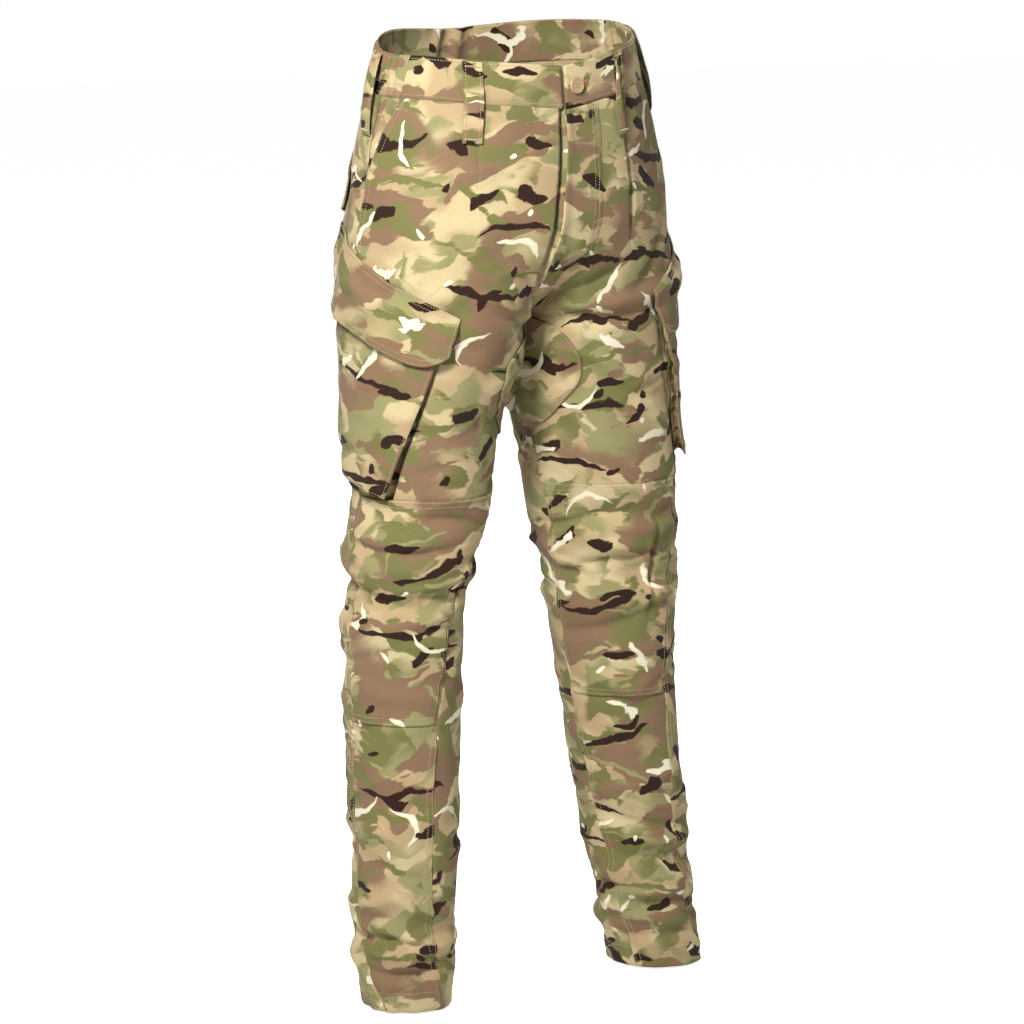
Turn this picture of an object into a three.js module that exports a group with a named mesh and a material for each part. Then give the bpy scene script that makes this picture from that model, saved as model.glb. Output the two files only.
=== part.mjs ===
import * as THREE from "three";

// Cargo trousers standing open and hollow, as if worn.
// Millimetres, +Z up. The front faces -Y and the wearer's right is -X.
// The origin is the middle of the waist opening, level with the waistband's top at the sides.
//
// Every cloth piece is read from one surface, the outside of the garment. A place on it has a half
// (RIGHT or LEFT), a turn and a drop. The turn is 0 at the outer side, 1 at the centre front or the
// inside of the leg, and -1 at the centre back. The drop is the distance below the waist.

const RIGHT = -1;
const LEFT = 1;

// Driving dimensions
const BAND_HEIGHT = 44;
const HEM_DROP = 1021;
const FORK_DROP = 278;
const FORK_START = { front: 152, back: 122 };
const THIGH_BLEND = { from: 130, to: 430, turn: 0.3 };
const LIFT_END = 205;
const CLOTH = 2;
const BAND_CLOTH = 3;
const FLAP_CLOTH = 2.4;
const SEAM_GAP = 0.3;
const PATCH_LIFT = 0.8;
const FORK_PATCH_LIFT = 1.2;
const POCKET_ROOM = 3;
const POCKET_SIDE_DEPTH = 0.5;
const LAP_LIFT = 0.8;
const CENTRE_GAP = SEAM_GAP / 2;

const CLOTH_COLOUR = 0xa39a6c;
const SHADED_CLOTH_COLOUR = 0x857e55;
const BUTTON_COLOUR = 0x8f7f5e;

// Half width and the depth to the front and to the back, for the body above the fork, and how far
// its middle hangs to the wearer's left.
const BODY_SECTIONS = [
  { drop: 0, half_width: 149, front: 112, back: 116, sway: 1 },
  { drop: 44, half_width: 158, front: 115, back: 122, sway: 2 },
  { drop: 90, half_width: 172, front: 120, back: 130, sway: 4 },
  { drop: 140, half_width: 183, front: 126, back: 137, sway: 5 },
  { drop: 190, half_width: 190, front: 130, back: 142, sway: 5 },
  { drop: 240, half_width: 194, front: 131, back: 143, sway: 5 },
  { drop: 278, half_width: 194, front: 128, back: 140, sway: 4 },
  { drop: 340, half_width: 194, front: 120, back: 132, sway: 2 },
  { drop: 420, half_width: 192, front: 104, back: 112, sway: 0 },
];

// Half width, half depth and the place of the middle, for each leg.
const LEG_SECTIONS = {
  [RIGHT]: [
    { drop: 120, half_width: 96, half_depth: 120, outward: 96, forward: 0 },
    { drop: 278, half_width: 95, half_depth: 113, outward: 95.2, forward: 0 },
    { drop: 340, half_width: 88, half_depth: 98, outward: 100, forward: 2 },
    { drop: 404, half_width: 80, half_depth: 85, outward: 111, forward: 5 },
    { drop: 480, half_width: 75, half_depth: 79, outward: 116, forward: 9 },
    { drop: 540, half_width: 69, half_depth: 73, outward: 130, forward: 11 },
    { drop: 600, half_width: 64, half_depth: 68, outward: 139, forward: 14 },
    { drop: 680, half_width: 63, half_depth: 66, outward: 144, forward: 19 },
    { drop: 760, half_width: 61, half_depth: 64, outward: 148, forward: 24 },
    { drop: 840, half_width: 59, half_depth: 61, outward: 149, forward: 29 },
    { drop: 920, half_width: 56, half_depth: 58, outward: 153, forward: 33 },
    { drop: 980, half_width: 53, half_depth: 54, outward: 153, forward: 36 },
    { drop: 1021, half_width: 48, half_depth: 49, outward: 152, forward: 38 },
  ],
  [LEFT]: [
    { drop: 120, half_width: 96, half_depth: 120, outward: 96, forward: 0 },
    { drop: 278, half_width: 95, half_depth: 113, outward: 95.2, forward: 0 },
    { drop: 340, half_width: 93, half_depth: 101, outward: 101, forward: 2 },
    { drop: 404, half_width: 88, half_depth: 90, outward: 111, forward: 5 },
    { drop: 480, half_width: 85, half_depth: 86, outward: 120, forward: 8 },
    { drop: 540, half_width: 80, half_depth: 81, outward: 125, forward: 11 },
    { drop: 600, half_width: 74, half_depth: 75, outward: 130, forward: 15 },
    { drop: 680, half_width: 66, half_depth: 67, outward: 134, forward: 19 },
    { drop: 760, half_width: 63, half_depth: 64, outward: 141, forward: 24 },
    { drop: 840, half_width: 61, half_depth: 62, outward: 150, forward: 29 },
    { drop: 920, half_width: 57, half_depth: 59, outward: 160, forward: 33 },
    { drop: 980, half_width: 54, half_depth: 56, outward: 171, forward: 36 },
    { drop: 1021, half_width: 52, half_depth: 54, outward: 177, forward: 38 },
  ],
};

// How far each place of the waist is lifted, by turn: the back stands higher than the front.
const WAIST_LIFT = {
  [RIGHT]: [
    { turn: -1, lift: 24 },
    { turn: -0.6, lift: 25 },
    { turn: -0.3, lift: 14 },
    { turn: 0, lift: 4 },
    { turn: 0.3, lift: 2 },
    { turn: 0.6, lift: -3 },
    { turn: 0.8, lift: -6 },
    { turn: 1, lift: -9 },
  ],
  [LEFT]: [
    { turn: -1, lift: 24 },
    { turn: -0.6, lift: 32 },
    { turn: -0.3, lift: 34 },
    { turn: 0, lift: 32 },
    { turn: 0.3, lift: 19 },
    { turn: 0.6, lift: 9 },
    { turn: 0.8, lift: 0 },
    { turn: 1, lift: -9 },
  ],
};

// Where the side seam and the inside leg seam run. Both legs hang turned to the wearer's right.
const SEAMS = {
  [RIGHT]: [
    { drop: 0, side: 0, inner: 1 },
    { drop: 278, side: 0, inner: 1 },
    { drop: 340, side: -0.01, inner: 0.94 },
    { drop: 420, side: -0.03, inner: 0.84 },
    { drop: 500, side: -0.04, inner: 0.72 },
    { drop: 606, side: -0.01, inner: 0.585 },
    { drop: 732, side: -0.02, inner: 0.51 },
    { drop: 925, side: 0.015, inner: 0.51 },
    { drop: 1021, side: 0.165, inner: 0.62 },
  ],
  [LEFT]: [
    { drop: 0, side: 0, inner: 1 },
    { drop: 278, side: 0, inner: 1 },
    { drop: 340, side: 0.06, inner: 1 },
    { drop: 420, side: 0.18, inner: 0.97 },
    { drop: 500, side: 0.3, inner: 0.95 },
    { drop: 606, side: 0.36, inner: 0.975 },
    { drop: 732, side: 0.4, inner: 0.97 },
    { drop: 925, side: 0.41, inner: 0.87 },
    { drop: 1021, side: 0.24, inner: 0.82 },
  ],
};

// The front pocket's slanted mouth, from the waistband down to the side seam.
const POCKET_MOUTH = [
  { drop: 0, turn: 0.2 },
  { drop: 44, turn: 0.165 },
  { drop: 90, turn: 0.085 },
  { drop: 140, turn: 0.02 },
  { drop: 190, turn: 0.0 },
  { drop: 230, turn: 0.0 },
];
const POCKET_MOUTH_END = 212;
const POCKET_SIDE_END = 160;

// One pleat falls from each front belt loop and runs out down the thigh.
const PLEATS = {
  [RIGHT]: { turn: 0.61, depth: 2.6, length: 150 },
  [LEFT]: { turn: 0.71, depth: 5, length: 175 },
};
const PLEAT_SPREAD = 34;
const PLEAT_STEP = 4;
const FOLD_REACH = 110;

// The largest folds. Height is outward when positive; tilt turns the fold's line from level,
// front end down when positive.
const FOLDS = [
  { half: RIGHT, turn: 0.25, drop: 478, length: 90, width: 13, tilt: 6, height: -4 },
  { half: RIGHT, turn: 0.4, drop: 505, length: 80, width: 13, tilt: -8, height: 4 },
  { half: RIGHT, turn: 0.3, drop: 541, length: 110, width: 15, tilt: 4, height: 5 },
  { half: RIGHT, turn: 0.3, drop: 575, length: 90, width: 15, tilt: -6, height: -4.5 },
  { half: RIGHT, turn: 0.15, drop: 612, length: 80, width: 16, tilt: 8, height: 3.5 },
  { half: RIGHT, turn: -0.6, drop: 560, length: 110, width: 17, tilt: 5, height: -6 },
  { half: RIGHT, turn: -0.6, drop: 610, length: 110, width: 17, tilt: -4, height: 5 },
  { half: RIGHT, turn: 0.35, drop: 925, length: 80, width: 13, tilt: 12, height: -5 },
  { half: RIGHT, turn: 0.3, drop: 957, length: 80, width: 14, tilt: -6, height: 5 },
  { half: RIGHT, turn: -0.7, drop: 935, length: 90, width: 14, tilt: 6, height: -5 },
  { half: RIGHT, turn: -0.7, drop: 970, length: 90, width: 14, tilt: 2, height: 4 },
  { half: LEFT, turn: 0.66, drop: 498, length: 80, width: 13, tilt: -4, height: -5 },
  { half: LEFT, turn: 0.7, drop: 527, length: 90, width: 15, tilt: 6, height: 5 },
  { half: LEFT, turn: 0.65, drop: 566, length: 90, width: 15, tilt: -5, height: -4 },
  { half: LEFT, turn: 0.7, drop: 600, length: 80, width: 15, tilt: 8, height: 3.5 },
  { half: LEFT, turn: -0.5, drop: 550, length: 110, width: 17, tilt: -5, height: -6 },
  { half: LEFT, turn: -0.5, drop: 600, length: 110, width: 17, tilt: 4, height: 5 },
  { half: LEFT, turn: 0.6, drop: 890, length: 80, width: 14, tilt: -8, height: -5 },
  { half: LEFT, turn: 0.6, drop: 922, length: 80, width: 14, tilt: 4, height: 4.5 },
  { half: LEFT, turn: -0.6, drop: 930, length: 90, width: 14, tilt: 4, height: -5 },
  { half: LEFT, turn: -0.6, drop: 965, length: 90, width: 14, tilt: -3, height: 4 },
  { half: RIGHT, turn: -0.62, drop: 322, length: 62, width: 18, tilt: -20, height: -4 },
  { half: LEFT, turn: -0.62, drop: 322, length: 62, width: 18, tilt: -20, height: -4 },
];

// Bellows pocket on each thigh. Corners are given as arc, the distance forward of the side line
// round the thigh, and drop. shift moves the whole pocket of one half.
const CARGO = {
  face: {
    front_top: { arc: 107, drop: 302 },
    front_bottom: { arc: 43, drop: 463 },
    back_bottom: { arc: -112, drop: 424 },
    back_top: { arc: -58, drop: 226 },
  },
  flap: {
    front_top: { arc: 128, drop: 271 },
    front_bottom: { arc: 115, drop: 309 },
    back_bottom: { arc: -74, drop: 264 },
    back_top: { arc: -60, drop: 178 },
  },
  flap_point: 18,
  flap_clearance: 0.6,
  flap_flare: 2.5,
  gusset: { width: 13, inset: 2.5, face_width: 165, face_height: 180, start: 0.02 },
  face_columns: 10,
  face_rows: 10,
  shift: { [RIGHT]: { arc: 0, drop: 0 }, [LEFT]: { arc: 12, drop: -18 } },
};
const FACE_LIFT = PATCH_LIFT + POCKET_ROOM;

// Pocket with a flap on the right of the seat.
const SEAT_POCKET = {
  outer_arc: -86,
  inner_arc: -216,
  top: 134,
  bottom: 285,
  flap_overhang: { outer: 14, inner: 4 },
  point: 10,
  flap_top: 112,
  flap_bottom: 166,
  flap_point: 12,
  flap_clearance: 0.8,
  flap_flare: 1.5,
};

// Patch across the front of each knee, set in from the seams.
const KNEE_PATCH = { top: 465, bottom: 705, inset: 0.04 };

// Reach of the fork patch from the inside seam, in front and behind.
const FORK_PATCH = [
  { drop: 311, front: 90, back: 78 },
  { drop: 325, front: 95, back: 84 },
  { drop: 350, front: 84, back: 76 },
  { drop: 375, front: 62, back: 58 },
  { drop: 404, front: 30, back: 28 },
];

// The fly's placket: its edge laps over the wearer's right, its width goes to the left.
const FLY = [
  { drop: 46, edge: 1, width: 43 },
  { drop: 100, edge: 6, width: 47 },
  { drop: 148, edge: 14, width: 52 },
  { drop: 190, edge: 20, width: 53 },
  { drop: 215, edge: 24, width: 47 },
  { drop: 232, edge: 27, width: 41 },
  { drop: 244, edge: 28, width: 33 },
];

const FLY_ROWS = [46, 70, 100, 120, 148, 170, 190, 205, 215, 224, 232, 244];

const BUTTON = { radius: 9, rim: 1, thickness: 3.4, from_centre: 13, drop: 23, lift: 0.4 };

// Belt loops: width, the drop of the lower end and how far the middle stands off.
const LOOP = { width: 22, top: 1.5, bottom: 86, lift: 0.7, stand_off: 2.9, cloth: 1.8, steps: 8 };
const LOOPS = [
  { name: "belt_loop_front_right", half: RIGHT, turn: 0.565 },
  { name: "belt_loop_side_right", half: RIGHT, turn: -0.07 },
  { name: "belt_loop_back_right", half: RIGHT, turn: -0.6 },
  { name: "belt_loop_centre_back", half: RIGHT, turn: -1 },
  { name: "belt_loop_back_left", half: LEFT, turn: -0.6 },
  { name: "belt_loop_side_left", half: LEFT, turn: 0.1 },
  { name: "belt_loop_front_left", half: LEFT, turn: 0.69 },
];

// Small waves where elastic draws in the sides of the waistband.
const ELASTIC = { from: -0.34, to: 0.12, waves: 6, height: 1.1 };

// Rows of the panels: close together through the fork and over the knee and ankle folds.
const BODY_ROWS = [BAND_HEIGHT + 2 * SEAM_GAP, 70, 95, 122, 150, 175, 195];
const FORK_ROWS = [212, 230, 246, 259, 269, 275.5, FORK_DROP];
const LEG_ROWS = [
  291, 311, 334, 360, 383, 404, 424, 445, 466, 480, 495, 510, 525, 541, 558, 575, 592, 612, 640, 675, 705,
  750, 795, 840, 876, 896, 914, 930, 946, 962, 980, 1004, HEM_DROP,
];
const PANEL_ROWS = [...BODY_ROWS, ...FORK_ROWS, ...LEG_ROWS];

const lerp = THREE.MathUtils.lerp;
const clamp = THREE.MathUtils.clamp;
const smoothstep = THREE.MathUtils.smoothstep;

// Smooth curve through one column of a table, read at x along its key column.
function readCurve(table, key, column, x) {
  const last = table.length - 1;
  const at = clamp(x, table[0][key], table[last][key]);
  let i = 0;
  while (i < last - 1 && at > table[i + 1][key]) i += 1;
  const slope = (n) => {
    const a = table[Math.max(n - 1, 0)];
    const b = table[Math.min(n + 1, last)];
    return (b[column] - a[column]) / (b[key] - a[key]);
  };
  const step = table[i + 1][key] - table[i][key];
  const t = (at - table[i][key]) / step;
  const rise = t * t * (3 - 2 * t);
  const start = table[i][column] * (1 - rise) + table[i + 1][column] * rise;
  const bend = (t ** 3 - 2 * t * t + t) * slope(i) + (t ** 3 - t * t) * slope(i + 1);
  return start + step * bend;
}

// The plain surface: an ellipse round the hips that parts into one ellipse for each leg.
function plainPoint(half, turn, drop) {
  const below = drop >= FORK_DROP;
  const q = below ? THREE.MathUtils.euclideanModulo(turn + 1, 2) - 1 : turn;
  const body = (column) => readCurve(BODY_SECTIONS, "drop", column, drop);
  const leg = (column) => readCurve(LEG_SECTIONS[half], "drop", column, drop);
  const forkStart = q > 0 ? FORK_START.front : FORK_START.back;
  const t = clamp((drop - forkStart) / (FORK_DROP - forkStart), 0, 1);
  const nearFork = smoothstep(Math.abs(q), THIGH_BLEND.turn, 1);
  const thighShare = smoothstep(drop, THIGH_BLEND.from, THIGH_BLEND.to);
  const legShare = lerp(thighShare, 1 - Math.sqrt(1 - t * t), nearFork);
  const bodyAngle = (q * Math.PI) / 2;
  const legAngle = q * Math.PI;
  const bodyX = body("half_width") * Math.cos(bodyAngle);
  const bodyY = -(q > 0 ? body("front") : body("back")) * Math.sin(bodyAngle);
  const legX = leg("outward") + leg("half_width") * Math.cos(legAngle);
  const legY = -leg("forward") - leg("half_depth") * Math.sin(legAngle);
  const lift = readCurve(WAIST_LIFT[half], "turn", "lift", q);
  const liftShare = 1 - smoothstep(drop, BAND_HEIGHT, LIFT_END);
  return new THREE.Vector3(
    half * (Math.max(lerp(bodyX, legX, legShare), 0) + CENTRE_GAP) + body("sway"),
    lerp(bodyY, legY, legShare),
    -drop + lift * liftShare,
  );
}

function swayAt(drop) {
  return readCurve(BODY_SECTIONS, "drop", "sway", drop);
}

// Outward direction of a surface given as a function of turn and drop.
function outward(point, half, turn, drop) {
  const side = drop > FORK_DROP - 2 && drop < FORK_DROP + 2 ? FORK_DROP + 2 : drop;
  const q = side < FORK_DROP ? clamp(turn, -0.994, 0.994) : turn;
  const dq = 0.004;
  const d = side < FORK_DROP ? Math.min(1, FORK_DROP - side - 0.5) : 1;
  const alongTurn = point(half, q + dq, side).sub(point(half, q - dq, side));
  const alongDrop = point(half, q, side + d).sub(point(half, q, side - d));
  const n = alongTurn.cross(alongDrop).normalize();
  return half === LEFT ? n : n.negate();
}

// Distances round the garment from its outer side line at one drop, forward positive.
const ARC_SAMPLES = 120;
const arcTables = new Map();
function arcTable(half, drop) {
  const key = `${half} ${drop}`;
  if (arcTables.has(key)) return arcTables.get(key);
  const reach = drop < FORK_DROP ? 1 : 1.2;
  const table = [];
  let arc = 0;
  let previous = null;
  for (let i = 0; i <= ARC_SAMPLES; i += 1) {
    const turn = lerp(-reach, reach, i / ARC_SAMPLES);
    const point = plainPoint(half, turn, drop).setZ(0);
    if (previous) arc += point.distanceTo(previous);
    previous = point;
    table.push({ turn, arc });
  }
  const middle = table[ARC_SAMPLES / 2].arc;
  for (const row of table) row.arc -= middle;
  arcTables.set(key, table);
  return table;
}

function turnAtArc(half, arc, drop) {
  return readCurve(arcTable(half, drop), "arc", "turn", arc);
}

function arcAtTurn(half, turn, drop) {
  return readCurve(arcTable(half, drop), "turn", "arc", turn);
}

// Height of all folds and the pleat at a place.
function foldHeight(half, turn, drop) {
  let height = 0;
  for (const fold of FOLDS) {
    if (fold.half !== half || Math.abs(drop - fold.drop) > FOLD_REACH) continue;
    let dTurn = turn - fold.turn;
    if (drop >= FORK_DROP) dTurn = THREE.MathUtils.euclideanModulo(dTurn + 1, 2) - 1;
    const x = dTurn * arcAtTurn(half, 1, drop);
    const y = drop - fold.drop;
    const tilt = THREE.MathUtils.degToRad(fold.tilt);
    const along = x * Math.cos(tilt) + y * Math.sin(tilt);
    const across = -x * Math.sin(tilt) + y * Math.cos(tilt);
    const spread = Math.exp(-((across / fold.width) ** 2)) * Math.exp(-((along / fold.length) ** 4));
    height += fold.height * spread;
  }
  const pleat = PLEATS[half];
  const fade = 1 - smoothstep(drop, BAND_HEIGHT, BAND_HEIGHT + pleat.length);
  if (fade > 0 && turn > pleat.turn) {
    const inside = arcAtTurn(half, turn, drop) - arcAtTurn(half, pleat.turn, drop);
    height += pleat.depth * fade * Math.exp(-inside / PLEAT_SPREAD);
  }
  return height;
}

// Line of the pleat, which the front panel's columns follow on down the leg.
function pleatTurn(half, drop) {
  const seam = (column) => readCurve(SEAMS[half], "drop", column, drop);
  const middle = (seam("side") + seam("inner")) / 2;
  return lerp(PLEATS[half].turn, middle, smoothstep(drop, 190, 340));
}

// The garment's outside with its folds.
function clothPoint(half, turn, drop) {
  const point = plainPoint(half, turn, drop);
  const height = foldHeight(half, turn, drop);
  return point.addScaledVector(outward(plainPoint, half, turn, drop), height);
}

// Outer and inner point of a wall: lift is the inner face's height over the garment's outside.
function wallAt(half, turn, drop, lift, cloth) {
  const base = clothPoint(half, turn, drop);
  const n = outward(plainPoint, half, turn, drop);
  return {
    outer: base.clone().addScaledVector(n, lift + cloth),
    inner: base.clone().addScaledVector(n, lift),
  };
}

// Turn that the seam gap takes on each side of a seam.
function gapTurn(half, turn, drop) {
  const small = 0.01;
  const inside = drop < FORK_DROP ? clamp(turn, -1 + small, 1 - small) : turn;
  const ahead = plainPoint(half, inside + small, drop);
  const length = ahead.distanceTo(plainPoint(half, inside - small, drop));
  return (SEAM_GAP / 2 / length) * 2 * small;
}

// Closed body between the outer and the inner points of a grid.
function wallGeometry(grid) {
  const rows = grid.length;
  const columns = grid[0].length;
  const positions = [];
  for (const face of ["outer", "inner"]) {
    for (const row of grid) {
      for (const place of row) positions.push(place[face].x, place[face].y, place[face].z);
    }
  }
  const outer = (i, j) => i * columns + j;
  const inner = (i, j) => rows * columns + i * columns + j;
  const index = [];
  const quad = (a, b, c, d) => index.push(a, b, c, a, c, d);
  for (let i = 0; i < rows - 1; i += 1) {
    for (let j = 0; j < columns - 1; j += 1) {
      quad(outer(i, j), outer(i + 1, j), outer(i + 1, j + 1), outer(i, j + 1));
      quad(inner(i, j), inner(i, j + 1), inner(i + 1, j + 1), inner(i + 1, j));
    }
  }
  const right = columns - 1;
  const bottom = rows - 1;
  for (let i = 0; i < bottom; i += 1) {
    quad(outer(i, 0), inner(i, 0), inner(i + 1, 0), outer(i + 1, 0));
    quad(outer(i, right), outer(i + 1, right), inner(i + 1, right), inner(i, right));
  }
  for (let j = 0; j < right; j += 1) {
    quad(outer(0, j), outer(0, j + 1), inner(0, j + 1), inner(0, j));
    quad(outer(bottom, j), inner(bottom, j), inner(bottom, j + 1), outer(bottom, j + 1));
  }
  if (signedVolume(positions, index) < 0) index.reverse();
  const geometry = new THREE.BufferGeometry();
  geometry.setAttribute("position", new THREE.Float32BufferAttribute(positions, 3));
  geometry.setIndex(index);
  geometry.computeVertexNormals();
  return geometry;
}

// Volume inside a mesh, negative when its faces point inward.
function signedVolume(positions, index) {
  const corner = (n) => new THREE.Vector3().fromArray(positions, index[n] * 3);
  let volume = 0;
  for (let n = 0; n < index.length; n += 3) {
    volume += corner(n).dot(corner(n + 1).cross(corner(n + 2))) / 6;
  }
  return volume;
}

function clothMesh(name, grid, colour = CLOTH_COLOUR) {
  const material = new THREE.MeshStandardMaterial({ color: colour, roughness: 0.9, metalness: 0 });
  const mesh = new THREE.Mesh(wallGeometry(grid), material);
  mesh.name = name;
  return mesh;
}

function sideName(half) {
  return half === RIGHT ? "right" : "left";
}

// Even steps from one value to another, both ends included.
function steps(from, to, count) {
  return Array.from({ length: count + 1 }, (_, i) => lerp(from, to, i / count));
}

// Outer edge of the front panel: the pocket's mouth above, the side seam below.
function frontOuterTurn(half, drop) {
  const seam = readCurve(SEAMS[half], "drop", "side", drop);
  const mouth = readCurve(POCKET_MOUTH, "drop", "turn", drop);
  return Math.max(seam, lerp(mouth, seam, smoothstep(drop, POCKET_MOUTH_END - 30, POCKET_MOUTH_END)));
}

function innerSeamTurn(half, drop) {
  if (drop <= FORK_DROP) return 1;
  return readCurve(SEAMS[half], "drop", "inner", drop);
}

// Columns of the front panel: even steps on each side of the pleat's line.
function frontTurns(half, drop, outer, inner) {
  const pleat = pleatTurn(half, drop);
  const step = (PLEAT_STEP / SEAM_GAP) * gapTurn(half, pleat, drop);
  return [...steps(outer, pleat, 5), ...steps(pleat + 2 * step, inner, 5)];
}

// Front leg panel, from the waistband to the hem.
function frontPanel(half) {
  const grid = PANEL_ROWS.map((drop) => {
    const edge = frontOuterTurn(half, drop);
    const outer = edge + gapTurn(half, edge, drop);
    const seam = innerSeamTurn(half, drop);
    const inner = seam - (drop > FORK_DROP ? gapTurn(half, seam, drop) : 0);
    const turns = frontTurns(half, drop, outer, inner);
    return turns.map((turn) => wallAt(half, turn, drop, -CLOTH, CLOTH));
  });
  return clothMesh(`front_${sideName(half)}`, grid);
}

// Back leg panel, from the side seam round the seat and the back of the leg.
function backPanel(half) {
  const grid = PANEL_ROWS.map((drop) => {
    const side = readCurve(SEAMS[half], "drop", "side", drop);
    const outer = side - gapTurn(half, side, drop);
    const seam = innerSeamTurn(half, drop);
    const inner = drop > FORK_DROP ? seam - 2 + gapTurn(half, seam, drop) : -1;
    return steps(outer, inner, 11).map((turn) => wallAt(half, turn, drop, -CLOTH, CLOTH));
  });
  return clothMesh(`back_${sideName(half)}`, grid);
}

// Cloth that shows behind the slanted mouth of the front pocket.
function pocketSide(half) {
  const drops = PANEL_ROWS.filter((drop) => drop < POCKET_SIDE_END);
  const grid = drops.map((drop) => {
    const side = readCurve(SEAMS[half], "drop", "side", drop);
    const gap = gapTurn(half, side, drop);
    const edge = frontOuterTurn(half, drop) - 2 * gap;
    const turns = steps(side + gap, Math.max(edge, side + 3 * gap), 3);
    return turns.map((turn) => wallAt(half, turn, drop, -CLOTH - POCKET_SIDE_DEPTH, CLOTH));
  });
  return clothMesh(`pocket_side_${sideName(half)}`, grid, SHADED_CLOTH_COLOUR);
}

const BAND_DROPS = [0, 15, 30, BAND_HEIGHT];

// Waistband from the centre front to the pocket's mouth.
function waistbandFront(half) {
  const lap = half === LEFT ? LAP_LIFT : 0;
  const grid = BAND_DROPS.map((drop) => {
    const mouth = readCurve(POCKET_MOUTH, "drop", "turn", drop);
    const outer = mouth + gapTurn(half, mouth, drop);
    return steps(outer, 1, 11).map((turn) => wallAt(half, turn, drop, -BAND_CLOTH + lap, BAND_CLOTH));
  });
  return clothMesh(`waistband_front_${sideName(half)}`, grid);
}

// Height of the elastic's waves at a turn.
function elasticHeight(turn) {
  const share = (turn - ELASTIC.from) / (ELASTIC.to - ELASTIC.from);
  if (share <= 0 || share >= 1) return 0;
  return -ELASTIC.height * Math.sin(share * ELASTIC.waves * Math.PI) ** 2;
}

// Waistband from one pocket's mouth round the back to the other's.
function waistbandBack() {
  const grid = BAND_DROPS.map((drop) => {
    const mouth = readCurve(POCKET_MOUTH, "drop", "turn", drop);
    const end = mouth - gapTurn(RIGHT, mouth, drop) * 1.5;
    const waves = steps(ELASTIC.to, ELASTIC.from, ELASTIC.waves * 3);
    const turns = [end, ...waves, ...steps(ELASTIC.from, -1, 7).slice(1, -1)];
    const halfRow = (half) => turns.map((turn) => {
      const lift = -BAND_CLOTH + elasticHeight(turn);
      return wallAt(half, turn, drop, lift, BAND_CLOTH);
    });
    const centre = wallAt(RIGHT, -1, drop, -BAND_CLOTH, BAND_CLOTH);
    centre.outer.x = swayAt(drop);
    centre.inner.x = swayAt(drop);
    return [...halfRow(RIGHT), centre, ...halfRow(LEFT).reverse()];
  });
  return clothMesh("waistband_back", grid, SHADED_CLOTH_COLOUR);
}

// A place near the centre front, by its distance to the wearer's left of the centre line.
function centreWall(fromCentre, drop, lift, cloth) {
  const half = fromCentre < 0 ? RIGHT : LEFT;
  const turn = turnAtArc(half, arcAtTurn(half, 1, drop) - Math.abs(fromCentre), drop);
  const base = clothPoint(half, turn, drop);
  const n = outward(plainPoint, half, turn, drop);
  n.x *= clamp(Math.abs(fromCentre) / 14, 0, 1);
  n.normalize();
  if (Math.abs(fromCentre) < CENTRE_GAP) base.x = swayAt(drop);
  return {
    outer: base.clone().addScaledVector(n, lift + cloth),
    inner: base.clone().addScaledVector(n, lift),
  };
}

// Placket over the fly, cut to a curve at its foot.
function flyPlacket() {
  const grid = FLY_ROWS.map((drop) => {
    const edge = readCurve(FLY, "drop", "edge", drop);
    const width = readCurve(FLY, "drop", "width", drop);
    const left = width - edge;
    const places = [-edge, -edge * 0.5, 0, left * 0.25, left * 0.5, left * 0.75, left];
    return places.map((fromCentre) => centreWall(fromCentre, drop, PATCH_LIFT, CLOTH));
  });
  return clothMesh("fly_placket", grid);
}

// Flat round button on the left end of the waistband.
function waistButton() {
  const { radius, rim, thickness, from_centre, drop, lift } = BUTTON;
  const profile = [
    new THREE.Vector2(0, 0),
    new THREE.Vector2(radius - rim, 0),
    new THREE.Vector2(radius, rim),
    new THREE.Vector2(radius, thickness - rim),
    new THREE.Vector2(radius - rim, thickness),
    new THREE.Vector2(radius - 2 * rim, thickness),
    new THREE.Vector2(radius - 3 * rim, thickness - rim),
    new THREE.Vector2(0, thickness - rim),
  ];
  const material = new THREE.MeshStandardMaterial({ color: BUTTON_COLOUR, roughness: 0.45, metalness: 0 });
  const button = new THREE.Mesh(new THREE.LatheGeometry(profile, 24), material);
  const seat = centreWall(from_centre, drop, LAP_LIFT + lift, 0);
  const normal = centreWall(from_centre, drop, 0, 1);
  const axis = normal.outer.sub(normal.inner).normalize();
  button.position.copy(seat.outer);
  button.quaternion.setFromUnitVectors(new THREE.Vector3(0, 1, 0), axis);
  button.name = "waist_button";
  return button;
}

// Belt loop: a strip sewn down at both ends that stands off the waistband between them.
function beltLoop({ name, half, turn }) {
  const { width, top, bottom, stand_off, cloth, steps: count } = LOOP;
  const onCentre = turn === -1;
  const middle = arcAtTurn(half, turn, (top + bottom) / 2);
  const grid = steps(top, bottom, count).map((drop, i) => {
    const arch = Math.sin((Math.PI * i) / count) ** 0.6;
    return [-1, 0, 1].map((side) => {
      const reach = (side * width) / 2;
      const lift = LOOP.lift + stand_off * arch;
      if (!onCentre) return wallAt(half, turnAtArc(half, middle + reach, drop), drop, lift, cloth);
      const part = side < 0 ? RIGHT : LEFT;
      const arc = arcAtTurn(part, -1, drop) + Math.abs(reach);
      const place = wallAt(part, turnAtArc(part, arc, drop), drop, lift, cloth);
      if (side === 0) {
        place.outer.x = swayAt(drop);
        place.inner.x = swayAt(drop);
      }
      return place;
    });
  });
  return clothMesh(name, grid);
}

// Place inside a four cornered outline: s runs from back to front, t from top to bottom.
function inOutline(outline, s, t) {
  const mix = (key) => {
    const top = lerp(outline.back_top[key], outline.front_top[key], s);
    const bottom = lerp(outline.back_bottom[key], outline.front_bottom[key], s);
    return lerp(top, bottom, t);
  };
  return { arc: mix("arc"), drop: mix("drop") };
}

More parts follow.
